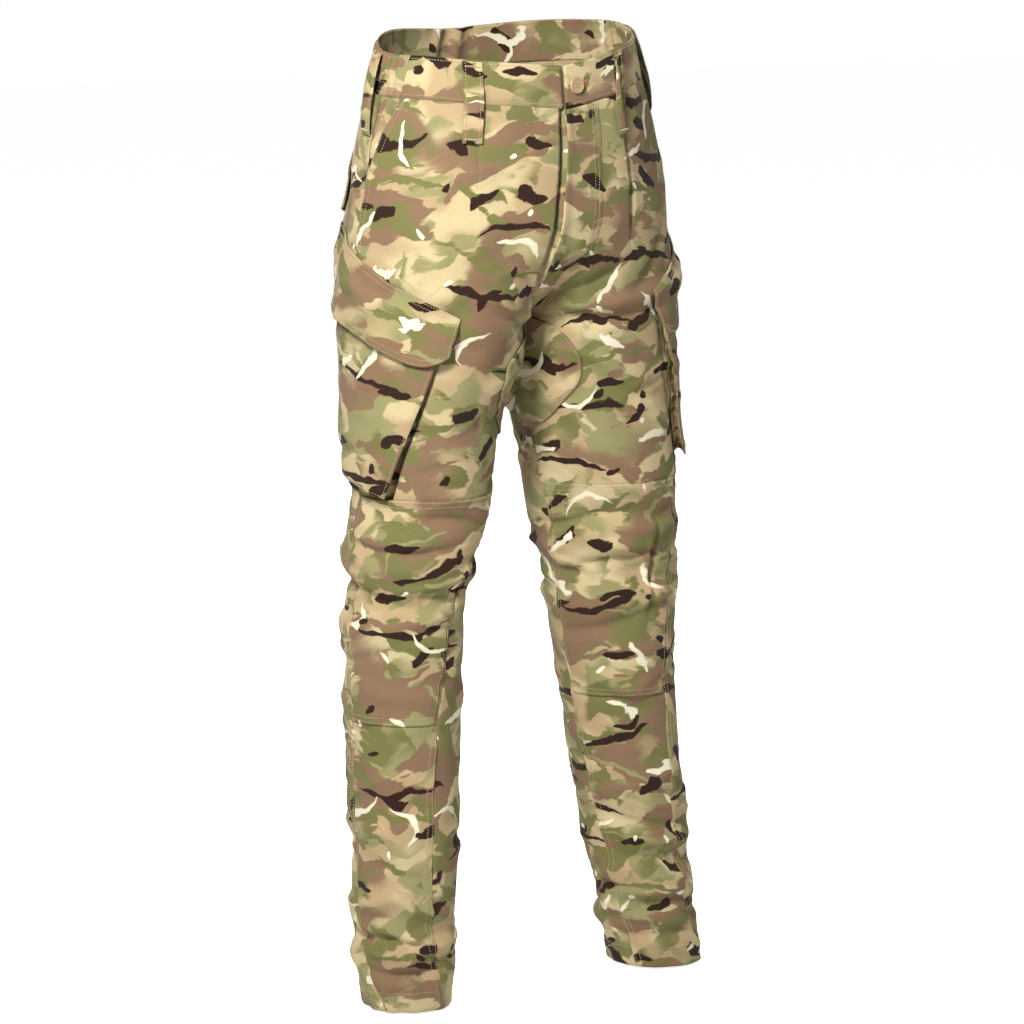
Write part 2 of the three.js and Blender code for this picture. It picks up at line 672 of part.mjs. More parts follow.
// Wall of a cargo pocket's piece at an arc and a drop, moved by the pocket's shift.
function cargoWall(half, arc, drop, lift, cloth) {
  const shift = CARGO.shift[half];
  const at = drop + shift.drop;
  return wallAt(half, turnAtArc(half, arc + shift.arc, at), at, lift, cloth);
}

// Face of the cargo pocket.
function cargoFace(half) {
  const grid = steps(0, 1, CARGO.face_rows).map((t) =>
    steps(0, 1, CARGO.face_columns).map((s) => {
      const { arc, drop } = inOutline(CARGO.face, s, t);
      return cargoWall(half, arc, drop, FACE_LIFT, CLOTH);
    }),
  );
  return clothMesh(`cargo_pocket_${sideName(half)}`, grid);
}

// Folded bellows under the back, bottom and front edges of the pocket's face.
function cargoGusset(half) {
  const { face, gusset, face_rows, face_columns } = CARGO;
  const edge = [
    ...steps(gusset.start, 1, face_rows).map((t) => ({ s: 0, t, inS: 1, inT: 0 })),
    ...steps(0, 1, face_columns).slice(1).map((s) => ({ s, t: 1, inS: 0, inT: -1 })),
    ...steps(1, gusset.start, face_rows).slice(1).map((t) => ({ s: 1, t, inS: -1, inT: 0 })),
  ];
  edge[face_rows].inT = -1;
  edge[face_rows + face_columns].inS = -1;
  const grid = edge.map(({ s, t, inS, inT }) =>
    [0, 0.5, 1].map((part) => {
      const reach = gusset.inset + part * gusset.width;
      const inward = { s: (inS * reach) / gusset.face_width, t: (inT * reach) / gusset.face_height };
      const { arc, drop } = inOutline(face, s + inward.s, t + inward.t);
      return cargoWall(half, arc, drop, PATCH_LIFT, POCKET_ROOM - PATCH_LIFT);
    }),
  );
  return clothMesh(`cargo_gusset_${sideName(half)}`, grid, SHADED_CLOTH_COLOUR);
}

// Flap over the cargo pocket: sewn down along its top, it clears the face and flares at the back.
function cargoFlap(half) {
  const overFace = FACE_LIFT + CLOTH + CARGO.flap_clearance;
  const grid = steps(0, 1, 6).map((t) =>
    steps(0, 1, 12).map((s) => {
      const { arc, drop } = inOutline(CARGO.flap, s, t);
      const point = CARGO.flap_point * t * Math.sin(Math.PI * s ** 3);
      const rise = smoothstep(t, 0.0, 0.42);
      const flare = CARGO.flap_flare * t * t * (1 - s);
      const lift = lerp(PATCH_LIFT, overFace, rise) + flare;
      return cargoWall(half, arc, drop + point, lift, FLAP_CLOTH);
    }),
  );
  return clothMesh(`cargo_flap_${sideName(half)}`, grid);
}

// Bag of the pocket on the seat, its foot cut to a shallow point.
function seatPocket() {
  const { outer_arc, inner_arc, top, bottom, point } = SEAT_POCKET;
  const grid = steps(0, 1, 9).map((t) =>
    steps(0, 1, 8).map((s) => {
      const drop = lerp(top, bottom, t) + point * t * Math.sin(Math.PI * s);
      const turn = turnAtArc(RIGHT, lerp(outer_arc, inner_arc, s), drop);
      return wallAt(RIGHT, turn, drop, PATCH_LIFT, CLOTH);
    }),
  );
  return clothMesh("back_pocket_right", grid);
}

function seatPocketFlap() {
  const { outer_arc, inner_arc, flap_overhang, flap_top, flap_bottom, flap_point } = SEAT_POCKET;
  const over = PATCH_LIFT + CLOTH + SEAT_POCKET.flap_clearance;
  const outer = outer_arc + flap_overhang.outer;
  const inner = inner_arc - flap_overhang.inner;
  const grid = steps(0, 1, 4).map((t) =>
    steps(0, 1, 9).map((s) => {
      const drop = lerp(flap_top, flap_bottom, t) + flap_point * t * Math.sin(Math.PI * s);
      const lift = lerp(PATCH_LIFT, over + SEAT_POCKET.flap_flare * t, smoothstep(t, 0, 0.4));
      const turn = turnAtArc(RIGHT, lerp(outer, inner, s), drop);
      return wallAt(RIGHT, turn, drop, lift, FLAP_CLOTH);
    }),
  );
  return clothMesh("back_pocket_flap_right", grid);
}

// Second layer over the front of the knee, on the front panel's own rows and columns.
function kneePatch(half) {
  const rows = PANEL_ROWS.filter((drop) => drop >= KNEE_PATCH.top && drop <= KNEE_PATCH.bottom);
  const grid = rows.map((drop) => {
    const outer = frontOuterTurn(half, drop);
    const inner = innerSeamTurn(half, drop);
    const inset = KNEE_PATCH.inset * (inner - outer);
    const turns = frontTurns(half, drop, outer, inner);
    turns[0] += inset;
    turns[turns.length - 1] -= inset;
    return turns.map((turn) => wallAt(half, turn, drop, PATCH_LIFT, CLOTH));
  });
  return clothMesh(`knee_patch_${sideName(half)}`, grid);
}

// Reinforcing patch over the inside leg seam below the fork.
function forkPatch(half) {
  const last = FORK_PATCH[FORK_PATCH.length - 1].drop;
  const drops = PANEL_ROWS.filter((drop) => drop > FORK_PATCH[0].drop && drop < last);
  const grid = [FORK_PATCH[0].drop, ...drops, last].map((drop) => {
    const seam = arcAtTurn(half, innerSeamTurn(half, drop), drop);
    const around = arcAtTurn(half, 1, drop) - arcAtTurn(half, -1, drop);
    const front = seam - readCurve(FORK_PATCH, "drop", "front", drop);
    const back = seam + readCurve(FORK_PATCH, "drop", "back", drop);
    return steps(front, back, 12).map((arc) => {
      const turn = arc > around / 2 ? turnAtArc(half, arc - around, drop) + 2 : turnAtArc(half, arc, drop);
      return wallAt(half, turn, drop, FORK_PATCH_LIFT, CLOTH);
    });
  });
  return clothMesh(`fork_patch_${sideName(half)}`, grid, SHADED_CLOTH_COLOUR);
}

const group = new THREE.Group();
for (const half of [RIGHT, LEFT]) {
  group.add(frontPanel(half), backPanel(half), pocketSide(half), waistbandFront(half));
  group.add(cargoFace(half), cargoGusset(half), cargoFlap(half), kneePatch(half), forkPatch(half));
}
group.add(waistbandBack(), flyPlacket(), waistButton(), seatPocket(), seatPocketFlap());
for (const loop of LOOPS) group.add(beltLoop(loop));

export default group;
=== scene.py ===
"""Cargo trousers standing open as worn: cloth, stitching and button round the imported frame.

All sizes here are millimetres, as on a cutting table, and the mesh makers turn them into metres.
Every cloth piece is read from one surface, the outside of the garment. A place on it has a half,
a turn and a drop. The turn is 0 at the outer side, 1 at the centre front or the inside of the leg
and -1 at the centre back. The drop is the distance below the waist.
"""

from __future__ import annotations

import logging
from dataclasses import dataclass, field, replace
from enum import Enum
from functools import partial
from typing import Callable

import bpy
import numpy as np
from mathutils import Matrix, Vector


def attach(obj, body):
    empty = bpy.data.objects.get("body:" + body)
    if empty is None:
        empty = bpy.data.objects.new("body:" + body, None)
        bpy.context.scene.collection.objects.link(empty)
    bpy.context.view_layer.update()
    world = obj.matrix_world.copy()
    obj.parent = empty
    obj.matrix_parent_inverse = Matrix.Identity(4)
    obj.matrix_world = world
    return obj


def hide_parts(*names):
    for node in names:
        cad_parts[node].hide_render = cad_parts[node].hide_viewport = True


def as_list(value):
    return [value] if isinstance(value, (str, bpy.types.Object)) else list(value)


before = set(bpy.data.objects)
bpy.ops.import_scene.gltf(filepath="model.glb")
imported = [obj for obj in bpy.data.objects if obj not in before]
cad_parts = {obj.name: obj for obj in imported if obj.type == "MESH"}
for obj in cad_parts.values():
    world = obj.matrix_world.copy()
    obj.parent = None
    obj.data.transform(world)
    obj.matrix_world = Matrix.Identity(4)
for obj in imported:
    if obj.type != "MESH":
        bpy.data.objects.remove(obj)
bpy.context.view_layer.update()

Array = np.ndarray
Pair = tuple[Array, Array]
RGB = tuple[float, float, float]
log = logging.getLogger("trousers")

MM = 0.001
BODY = "root"

BAND_HEIGHT = 44.0
HEM_DROP = 1021.0
FORK_DROP = 278.0
LIFT_END = 205.0
SEAM_GAP = 0.3
CLOTH = 1.1
BAND_CLOTH = 2.2
PATCH_LIFT = 0.8
FORK_PATCH_LIFT = 1.2
POCKET_ROOM = 3.0


class Half(Enum):
    """Side of the garment, by the wearer's own right and left."""

    RIGHT = -1
    LEFT = 1

    @property
    def word(self) -> str:
        """Name used in node and piece names."""
        return self.name.lower()


R, L = Half.RIGHT, Half.LEFT


class Held(Enum):
    HUNG = "hung"
    GATHERED = "gathered"
    LAID = "laid"
    FOLDED = "folded"


def smooth(value: Array, start: float, end: float) -> Array:
    """Cubic step from 0 at start to 1 at end."""
    t = np.clip((np.asarray(value, float) - start) / (end - start), 0.0, 1.0)
    return t * t * (3 - 2 * t)


def mix(a: Array, b: Array, share: Array) -> Array:
    """Straight blend from a to b."""
    return a + (b - a) * share


def pair(a: Array, b: Array) -> Pair:
    """Two values as arrays of one shape."""
    return np.broadcast_arrays(np.asarray(a, float), np.asarray(b, float))


def unit(vectors: Array) -> Array:
    """Vectors scaled to length one."""
    length = np.linalg.norm(vectors, axis=-1, keepdims=True)
    return vectors / np.maximum(length, 1e-9)


@dataclass(frozen=True)
class Table:
    """Short table of sizes whose columns are read as smooth curves along its first column."""

    columns: str
    rows: tuple[tuple[float, ...], ...]

    def read(self, column: str, at: Array) -> Array:
        """Cubic through the column's values, with centred slopes.

        Args:
            column: Name of the column.
            at: Places along the first column, held within its ends.

        Returns:
            The column's values at those places.
        """
        data = np.array(self.rows, float)
        key, value = data[:, 0], data[:, self.columns.split().index(column)]
        last = len(key) - 1
        ahead = np.minimum(np.arange(last + 1) + 1, last)
        behind = np.maximum(np.arange(last + 1) - 1, 0)
        slope = (value[ahead] - value[behind]) / (key[ahead] - key[behind])
        x = np.clip(np.asarray(at, float), key[0], key[-1])
        i = np.clip(np.searchsorted(key, x, side="right") - 1, 0, last - 1)
        step = key[i + 1] - key[i]
        t = (x - key[i]) / step
        rise = t * t * (3 - 2 * t)
        bend = (t**3 - 2 * t * t + t) * slope[i] + (t**3 - t * t) * slope[i + 1]
        return value[i] * (1 - rise) + value[i + 1] * rise + step * bend


BODY_SECTIONS = Table(
    "drop half_width front back sway",
    (
        (0, 149, 112, 116, 1),
        (44, 158, 115, 122, 2),
        (90, 172, 120, 130, 4),
        (140, 183, 126, 137, 5),
        (190, 190, 130, 142, 5),
        (240, 194, 131, 143, 5),
        (278, 194, 128, 140, 4),
        (340, 194, 120, 132, 2),
        (420, 192, 104, 112, 0),
    ),
)

LEG_COLUMNS = "drop half_width half_depth outward forward"
LEG_SECTIONS = {
    R: Table(
        LEG_COLUMNS,
        (
            (120, 96, 120, 96, 0),
            (278, 95, 113, 95.2, 0),
            (340, 88, 98, 100, 2),
            (404, 80, 85, 111, 5),
            (480, 75, 79, 116, 9),
            (540, 69, 73, 130, 11),
            (600, 64, 68, 139, 14),
            (680, 63, 66, 144, 19),
            (760, 61, 64, 148, 24),
            (840, 59, 61, 149, 29),
            (920, 56, 58, 153, 33),
            (980, 53, 54, 153, 36),
            (1021, 48, 49, 152, 38),
        ),
    ),
    L: Table(
        LEG_COLUMNS,
        (
            (120, 96, 120, 96, 0),
            (278, 95, 113, 95.2, 0),
            (340, 93, 101, 101, 2),
            (404, 88, 90, 111, 5),
            (480, 85, 86, 120, 8),
            (540, 80, 81, 125, 11),
            (600, 74, 75, 130, 15),
            (680, 66, 67, 134, 19),
            (760, 63, 64, 141, 24),
            (840, 61, 62, 150, 29),
            (920, 57, 59, 160, 33),
            (980, 54, 56, 171, 36),
            (1021, 52, 54, 177, 38),
        ),
    ),
}

WAIST_LIFT = {
    R: Table(
        "turn lift",
        ((-1, 24), (-0.6, 25), (-0.3, 14), (0, 4), (0.3, 2), (0.6, -3), (0.8, -6), (1, -9)),
    ),
    L: Table(
        "turn lift",
        ((-1, 24), (-0.6, 32), (-0.3, 34), (0, 32), (0.3, 19), (0.6, 9), (0.8, 0), (1, -9)),
    ),
}

SEAMS = {
    R: Table(
        "drop side inner",
        (
            (0, 0, 1),
            (278, 0, 1),
            (340, -0.01, 0.94),
            (420, -0.03, 0.84),
            (500, -0.04, 0.72),
            (606, -0.01, 0.585),
            (732, -0.02, 0.51),
            (925, 0.015, 0.51),
            (1021, 0.165, 0.62),
        ),
    ),
    L: Table(
        "drop side inner",
        (
            (0, 0, 1),
            (278, 0, 1),
            (340, 0.06, 1),
            (420, 0.18, 0.97),
            (500, 0.3, 0.95),
            (606, 0.36, 0.975),
            (732, 0.4, 0.97),
            (925, 0.41, 0.87),
            (1021, 0.24, 0.82),
        ),
    ),
}

POCKET_MOUTH = Table(
    "drop turn", ((0, 0.2), (44, 0.165), (90, 0.085), (140, 0.02), (190, 0), (230, 0))
)
POCKET_MOUTH_END = 212.0


FLY_TABLE = Table(
    "drop edge width",
    (
        (46, 1, 43),
        (100, 6, 47),
        (148, 14, 52),
        (190, 20, 53),
        (215, 24, 47),
        (232, 27, 41),
        (244, 28, 33),
    ),
)


Corners = dict[str, tuple[float, float]]

CARGO_FACE: Corners = {
    "front_top": (107, 302),
    "front_bottom": (43, 463),
    "back_bottom": (-112, 424),
    "back_top": (-58, 226),
}

CARGO_FLAP: Corners = {
    "front_top": (128, 271),
    "front_bottom": (115, 309),
    "back_bottom": (-74, 264),
    "back_top": (-60, 178),
}


@dataclass
class TrouserSurface:
    """Plain outside of the garment: an ellipse round the hips that parts into one for each leg."""

    fork_start_front: float = 152.0
    fork_start_back: float = 122.0
    blend_from: float = 130.0
    blend_to: float = 430.0
    blend_turn: float = 0.3
    row_step: float = 2.0
    turn_reach: float = 1.3
    turn_count: int = 521
    arc_reach: float = 450.0
    arc_count: int = 901
    rows: Array = field(init=False)
    arcs: dict[Half, Array] = field(init=False, default_factory=dict)
    turns: dict[Half, Array] = field(init=False, default_factory=dict)

    def __post_init__(self) -> None:
        """Works out the girth tables that turn a turn into a distance and back."""
        above = np.arange(0, FORK_DROP, self.row_step)
        below = np.arange(FORK_DROP, HEM_DROP, self.row_step)
        self.rows = np.concatenate([above, [FORK_DROP - 0.1], below, [HEM_DROP]])
        turn = np.linspace(-self.turn_reach, self.turn_reach, self.turn_count)
        arc = np.linspace(-self.arc_reach, self.arc_reach, self.arc_count)
        whole = self.rows[:, None] < FORK_DROP
        held = np.where(whole, np.clip(turn, -1, 1), turn)
        for half in Half:
            points = self.plain(half, held, self.rows[:, None])[..., :2]
            steps = np.linalg.norm(np.diff(points, axis=1), axis=-1) + 1e-4
            along = np.concatenate([np.zeros((len(self.rows), 1)), np.cumsum(steps, axis=1)], 1)
            along -= along[:, self.turn_count // 2][:, None]
            self.arcs[half] = along
            self.turns[half] = np.stack([np.interp(arc, row, turn) for row in along])

    def plain(self, half: Half, turn: Array, drop: Array) -> Array:
        """Point of the plain surface.

        The body is an ellipse through a quarter turn from the side to the centre, the leg is a
        whole ellipse, and the share of the leg grows down the thigh, fast near the fork.

        Args:
            half: Side of the garment.
            turn: Place round it.
            drop: Distance below the waist.

        Returns:
            Points in millimetres, with a last axis of three.
        """
        turn, drop = pair(turn, drop)
        q = np.where(drop >= FORK_DROP, (turn + 1) % 2 - 1, turn)
        leg = LEG_SECTIONS[half]
        start = np.where(q > 0, self.fork_start_front, self.fork_start_back)
        t = np.clip((drop - start) / (FORK_DROP - start), 0, 1)
        near_fork = smooth(np.abs(q), self.blend_turn, 1)
        thigh = smooth(drop, self.blend_from, self.blend_to)
        share = mix(thigh, 1 - np.sqrt(1 - t * t), near_fork)
        depth = np.where(q > 0, BODY_SECTIONS.read("front", drop), BODY_SECTIONS.read("back", drop))
        body_x = BODY_SECTIONS.read("half_width", drop) * np.cos(q * np.pi / 2)
        body_y = -depth * np.sin(q * np.pi / 2)
        leg_x = leg.read("outward", drop) + leg.read("half_width", drop) * np.cos(q * np.pi)
        leg_y = -leg.read("forward", drop) - leg.read("half_depth", drop) * np.sin(q * np.pi)
        lift = WAIST_LIFT[half].read("lift", q)
        lift = lift * (1 - smooth(drop, BAND_HEIGHT, LIFT_END))
        x = half.value * (np.maximum(mix(body_x, leg_x, share), 0) + SEAM_GAP / 2)
        x = x + BODY_SECTIONS.read("sway", drop)
        return np.stack([x, mix(body_y, leg_y, share), lift - drop], -1)

    def outward(self, half: Half, turn: Array, drop: Array) -> Array:
        """Outward direction: the cross product of the steps along the turn and along the drop.

        Args:
            half: Side of the garment.
            turn: Place round it.
            drop: Distance below the waist.

        Returns:
            Unit vectors with a last axis of three.
        """
        turn, drop = pair(turn, drop)
        at = np.where(np.abs(drop - FORK_DROP) < 2, FORK_DROP + 2, drop)
        q = np.where(at < FORK_DROP, np.clip(turn, -0.994, 0.994), turn)
        dq = 0.004
        d = np.where(at < FORK_DROP, np.minimum(1, FORK_DROP - at - 0.5), 1)
        along_turn = self.plain(half, q + dq, at) - self.plain(half, q - dq, at)
        along_drop = self.plain(half, q, at + d) - self.plain(half, q, at - d)
        return unit(np.cross(along_turn, along_drop)) * half.value

    def _look(self, table: Array, drop: Array, column: Array) -> Array:
        """Reads a girth table between its rows and columns."""
        row = np.interp(drop, self.rows, np.arange(len(self.rows)))
        r = np.clip(row.astype(int), 0, len(self.rows) - 2)
        c = np.clip(column.astype(int), 0, table.shape[1] - 2)
        fr, fc = row - r, column - c
        top = table[r, c] * (1 - fc) + table[r, c + 1] * fc
        low = table[r + 1, c] * (1 - fc) + table[r + 1, c + 1] * fc
        return top * (1 - fr) + low * fr

    def arc(self, half: Half, turn: Array, drop: Array) -> Array:
        """Distance forward of the outer side line, round the garment at one drop."""
        turn, drop = pair(turn, drop)
        wraps = np.where((drop >= FORK_DROP) & (turn < -self.turn_reach), 2.0, 0.0)
        column = (turn + wraps + self.turn_reach) / (2 * self.turn_reach) * (self.turn_count - 1)
        arcs = self._look(self.arcs[half], drop, column)
        return arcs - np.where(wraps > 0, self.girth(half, drop), 0.0)

    def turn_at(self, half: Half, arc: Array, drop: Array) -> Array:
        """Turn that lies at a distance round the garment, the inverse of arc."""
        arc, drop = pair(arc, drop)
        column = (arc + self.arc_reach) / (2 * self.arc_reach) * (self.arc_count - 1)
        return self._look(self.turns[half], drop, column)

    def girth(self, half: Half, drop: Array) -> Array:
        """Length once round the leg, or twice round the half above the fork."""
        drop = np.asarray(drop, float)
        middle = (self.turn_count - 1) / 2
        reach = middle / self.turn_reach
        front = self._look(self.arcs[half], drop, np.full(drop.shape, middle + reach))
        back = self._look(self.arcs[half], drop, np.full(drop.shape, middle - reach))
        return front - back


@dataclass(frozen=True)
class Crease:
    """One fold of the cloth. Height is outward when positive, and a soft one has even sides."""

    turn: float
    drop: float
    length: float
    width: float
    tilt: float
    height: float
    bend: float = 0.0
    sharp: float = 0.0


CARGO_SHIFT = {R: (0.0, 0.0), L: (12.0, -18.0)}

# The folds seen in the photo, and those that such cloth has besides. Each row is a Crease.
CREASES: dict[Half, tuple[tuple[float, ...], ...]] = {
    R: (
        # The largest, which the CAD panels have too.
        (0.25, 478, 90, 13, 6, -4),
        (0.4, 505, 80, 13, -8, 4),
        (0.3, 541, 110, 15, 4, 5),
        (0.3, 575, 90, 15, -6, -4.5),
        (0.15, 612, 80, 16, 8, 3.5),
        (-0.6, 560, 110, 17, 5, -6),
        (-0.6, 610, 110, 17, -4, 5),
        (0.35, 925, 80, 13, 12, -5),
        (0.3, 957, 80, 14, -6, 5),
        (-0.7, 935, 90, 14, 6, -5),
        (-0.7, 970, 90, 14, 2, 4),
        (-0.62, 322, 62, 18, -20, -4),
        # Round the fork, fanning out from it.
        (0.8, 238, 48, 7, 34, -4.3, 0.1, 0.6),
        (0.74, 262, 56, 8, 22, 4.3, -0.1, 0.5),
        (0.8, 286, 44, 7, 8, -3.9, 0.1, 0.6),
        (0.76, 330, 52, 9, -22, 3.5, 0.12, 0.4),
        (0.66, 372, 60, 10, -36, -3.6, 0.1, 0.4),
        # Hips and front below the pleats.
        (0.42, 168, 46, 12, 74, 3.0, 0.0, 0.3),
        (0.52, 222, 52, 11, 62, -2.8, 0.0, 0.4),
        (0.3, 232, 46, 10, 30, 2.8, 0.1, 0.4),
        # Seat and the back of the thighs.
        (-0.78, 250, 60, 12, -30, -4.7, 0.1, 0.4),
        (-0.5, 296, 64, 12, -12, 3.9, 0.1, 0.3),
        (-0.7, 365, 60, 12, -24, 4.7, 0.1, 0.4),
        (-0.45, 410, 70, 13, 12, -3.9, 0.1, 0.3),
        # Over the knees.
        (0.1, 492, 46, 7, -12, 4.7, 0.15, 0.7),
        (0.52, 488, 40, 7, 10, -4.3, -0.1, 0.6),
        (0.2, 521, 62, 7, 3, -6.1, 0.12, 0.8),
        (0.48, 556, 44, 7, -14, 5.1, 0.15, 0.7),
        (0.08, 566, 48, 8, 10, -4.7, -0.12, 0.6),
        (0.36, 594, 58, 8, -10, 5.1, 0.1, 0.7),
        (0.1, 636, 52, 9, -16, -3.9, 0.1, 0.5),
        (0.42, 640, 46, 9, 16, 3.9, 0.1, 0.5),
        (0.22, 672, 56, 10, 10, 3.0, 0.1, 0.4),
        # Behind the knees.
        (-0.35, 532, 62, 9, -10, 5.7, 0.1, 0.6),
        (-0.8, 586, 56, 9, 12, -5.1, -0.1, 0.6),
        (-0.45, 640, 60, 10, 8, -3.9, 0.1, 0.5),
        # Down the shins and calves.
        (0.3, 716, 70, 12, 24, 2.8, 0.05, 0.3),
        (0.1, 770, 76, 13, 52, -2.6, 0.0, 0.3),
        (0.4, 812, 64, 12, -20, 2.8, 0.05, 0.4),
        (0.2, 862, 60, 11, 16, -3.2, 0.1, 0.4),
        (-0.5, 730, 80, 14, -40, 3.5, 0.0, 0.3),
        (-0.4, 830, 80, 14, 24, -3.5, 0.0, 0.3),
        # Where the legs settle at the ankles.
        (0.12, 900, 50, 8, -14, 4.7, 0.15, 0.6),
        (0.46, 908, 42, 7, 18, 4.7, 0.1, 0.7),
        (0.2, 940, 56, 7, 6, -6.5, -0.1, 0.8),
        (0.42, 974, 46, 7, -12, -5.1, 0.12, 0.7),
        (0.14, 984, 44, 8, 12, 4.3, 0.1, 0.6),
        (-0.4, 916, 60, 9, -8, 4.7, 0.1, 0.6),
        (-0.8, 955, 52, 9, 14, -4.7, 0.1, 0.6),
    ),
    L: (
        # The largest, which the CAD panels have too.
        (0.66, 498, 80, 13, -4, -5),
        (0.7, 527, 90, 15, 6, 5),
        (0.65, 566, 90, 15, -5, -4),
        (0.7, 600, 80, 15, 8, 3.5),
        (-0.5, 550, 110, 17, -5, -6),
        (-0.5, 600, 110, 17, 4, 5),
        (0.6, 890, 80, 14, -8, -5),
        (0.6, 922, 80, 14, 4, 4.5),
        (-0.6, 930, 90, 14, 4, -5),
        (-0.6, 965, 90, 14, -3, 4),
        (-0.62, 322, 62, 18, -20, -4),
        # Round the fork, fanning out from it.
        (0.7, 262, 84, 10, 6, 6.1, 0.12, 0.6),
        (0.7, 280, 66, 9, 0, -5.1, 0.1, 0.5),
        (0.82, 236, 44, 7, 26, -3.9, 0.1, 0.6),
        (0.76, 318, 46, 9, -18, 3.5, -0.1, 0.5),
        (0.62, 352, 56, 10, -34, -3.9, 0.1, 0.4),
        (0.5, 396, 60, 10, -30, 3.2, 0.1, 0.4),
        # Hips and front below the pleats.
        (0.52, 214, 50, 11, 60, -3.5, 0.0, 0.4),
        (0.4, 176, 44, 12, 72, 3.2, 0.0, 0.3),
        (0.28, 240, 46, 10, 24, 2.6, 0.1, 0.4),
        # Seat and the back of the thighs.
        (-0.78, 246, 60, 12, -28, -4.7, 0.1, 0.4),
        (-0.5, 300, 64, 12, -10, 3.9, -0.1, 0.3),
        (-0.72, 362, 60, 12, -22, 4.3, 0.1, 0.4),
        (-0.45, 415, 70, 13, 14, -3.9, 0.1, 0.3),
        # Over the knees.
        (0.82, 508, 44, 7, 12, -5.1, 0.12, 0.8),
        (0.52, 512, 52, 7, -6, 5.1, 0.1, 0.7),
        (0.6, 546, 60, 8, 8, -5.7, -0.1, 0.7),
        (0.84, 556, 40, 7, -16, 4.3, 0.12, 0.6),
        (0.5, 584, 52, 8, -12, 4.7, 0.1, 0.7),
        (0.74, 626, 58, 9, 14, -3.9, 0.1, 0.5),
        (0.56, 652, 50, 9, -10, 3.5, 0.1, 0.4),
        (0.47, 560, 46, 3.4, 82, -9.0, 0.0, 0.4),
        (0.5, 566, 44, 7.0, 82, 3.0, 0.0, 0.4),
        # Behind the knees.
        (-0.3, 524, 60, 9, 10, 5.1, 0.1, 0.6),
        (-0.75, 578, 56, 9, -12, -5.1, 0.1, 0.6),
        (-0.4, 636, 60, 10, -8, -3.9, 0.1, 0.5),
        # Down the shins and calves.
        (0.6, 700, 70, 12, -22, 3.0, 0.05, 0.3),
        (0.74, 756, 76, 13, 48, -2.6, 0.0, 0.3),
        (0.62, 806, 64, 11, 16, 3.2, 0.05, 0.4),
        (0.66, 850, 56, 9, -12, -4.7, 0.1, 0.6),
        (-0.5, 734, 80, 14, 40, 3.5, 0.0, 0.3),
        (-0.4, 834, 80, 14, -22, -3.5, 0.0, 0.3),
        # Where the legs settle at the ankles.
        (0.5, 872, 56, 8, -6, 5.7, 0.12, 0.7),
        (0.78, 902, 46, 7, 12, 4.7, -0.1, 0.6),
        (0.5, 938, 52, 8, 10, -5.7, 0.1, 0.7),
        (0.76, 958, 44, 7, -10, 4.3, 0.12, 0.7),
        (0.58, 982, 48, 8, 6, -3.9, 0.1, 0.6),
        (-0.3, 905, 60, 9, 8, 4.7, 0.1, 0.6),
        (-0.75, 950, 52, 9, -12, -4.7, 0.1, 0.6),
    ),
}


@dataclass(frozen=True)
class CrumpleZone:
    """Stretch of a leg with small creases: their number, height and how far they turn."""

    drop: float
    spread: float
    count: int
    height: float
    tilt: float

    def crease(self, rng: np.random.Generator) -> Crease:
        """Next small crease by the random numbers."""
        return Crease(
            turn=rng.uniform(-1, 1),
            drop=rng.normal(self.drop, self.spread * 0.6),
            length=rng.uniform(18, 42),
            width=rng.uniform(4.5, 8.5),
            tilt=rng.uniform(-self.tilt, self.tilt),
            height=rng.choice([-1, 1]) * self.height * rng.uniform(0.5, 1.2),
            bend=rng.uniform(-0.2, 0.2),
            sharp=rng.uniform(0.3, 0.9),
        )


CRUMPLE_ZONES = (
    CrumpleZone(110, 40, 20, 0.9, 70),
    CrumpleZone(235, 45, 34, 1.7, 45),
    CrumpleZone(340, 50, 30, 1.8, 40),
    CrumpleZone(440, 50, 28, 1.8, 35),
    CrumpleZone(555, 55, 60, 2.3, 22),
    CrumpleZone(700, 60, 30, 1.8, 40),
    CrumpleZone(830, 55, 32, 1.8, 35),
    CrumpleZone(940, 40, 54, 2.3, 20),
)


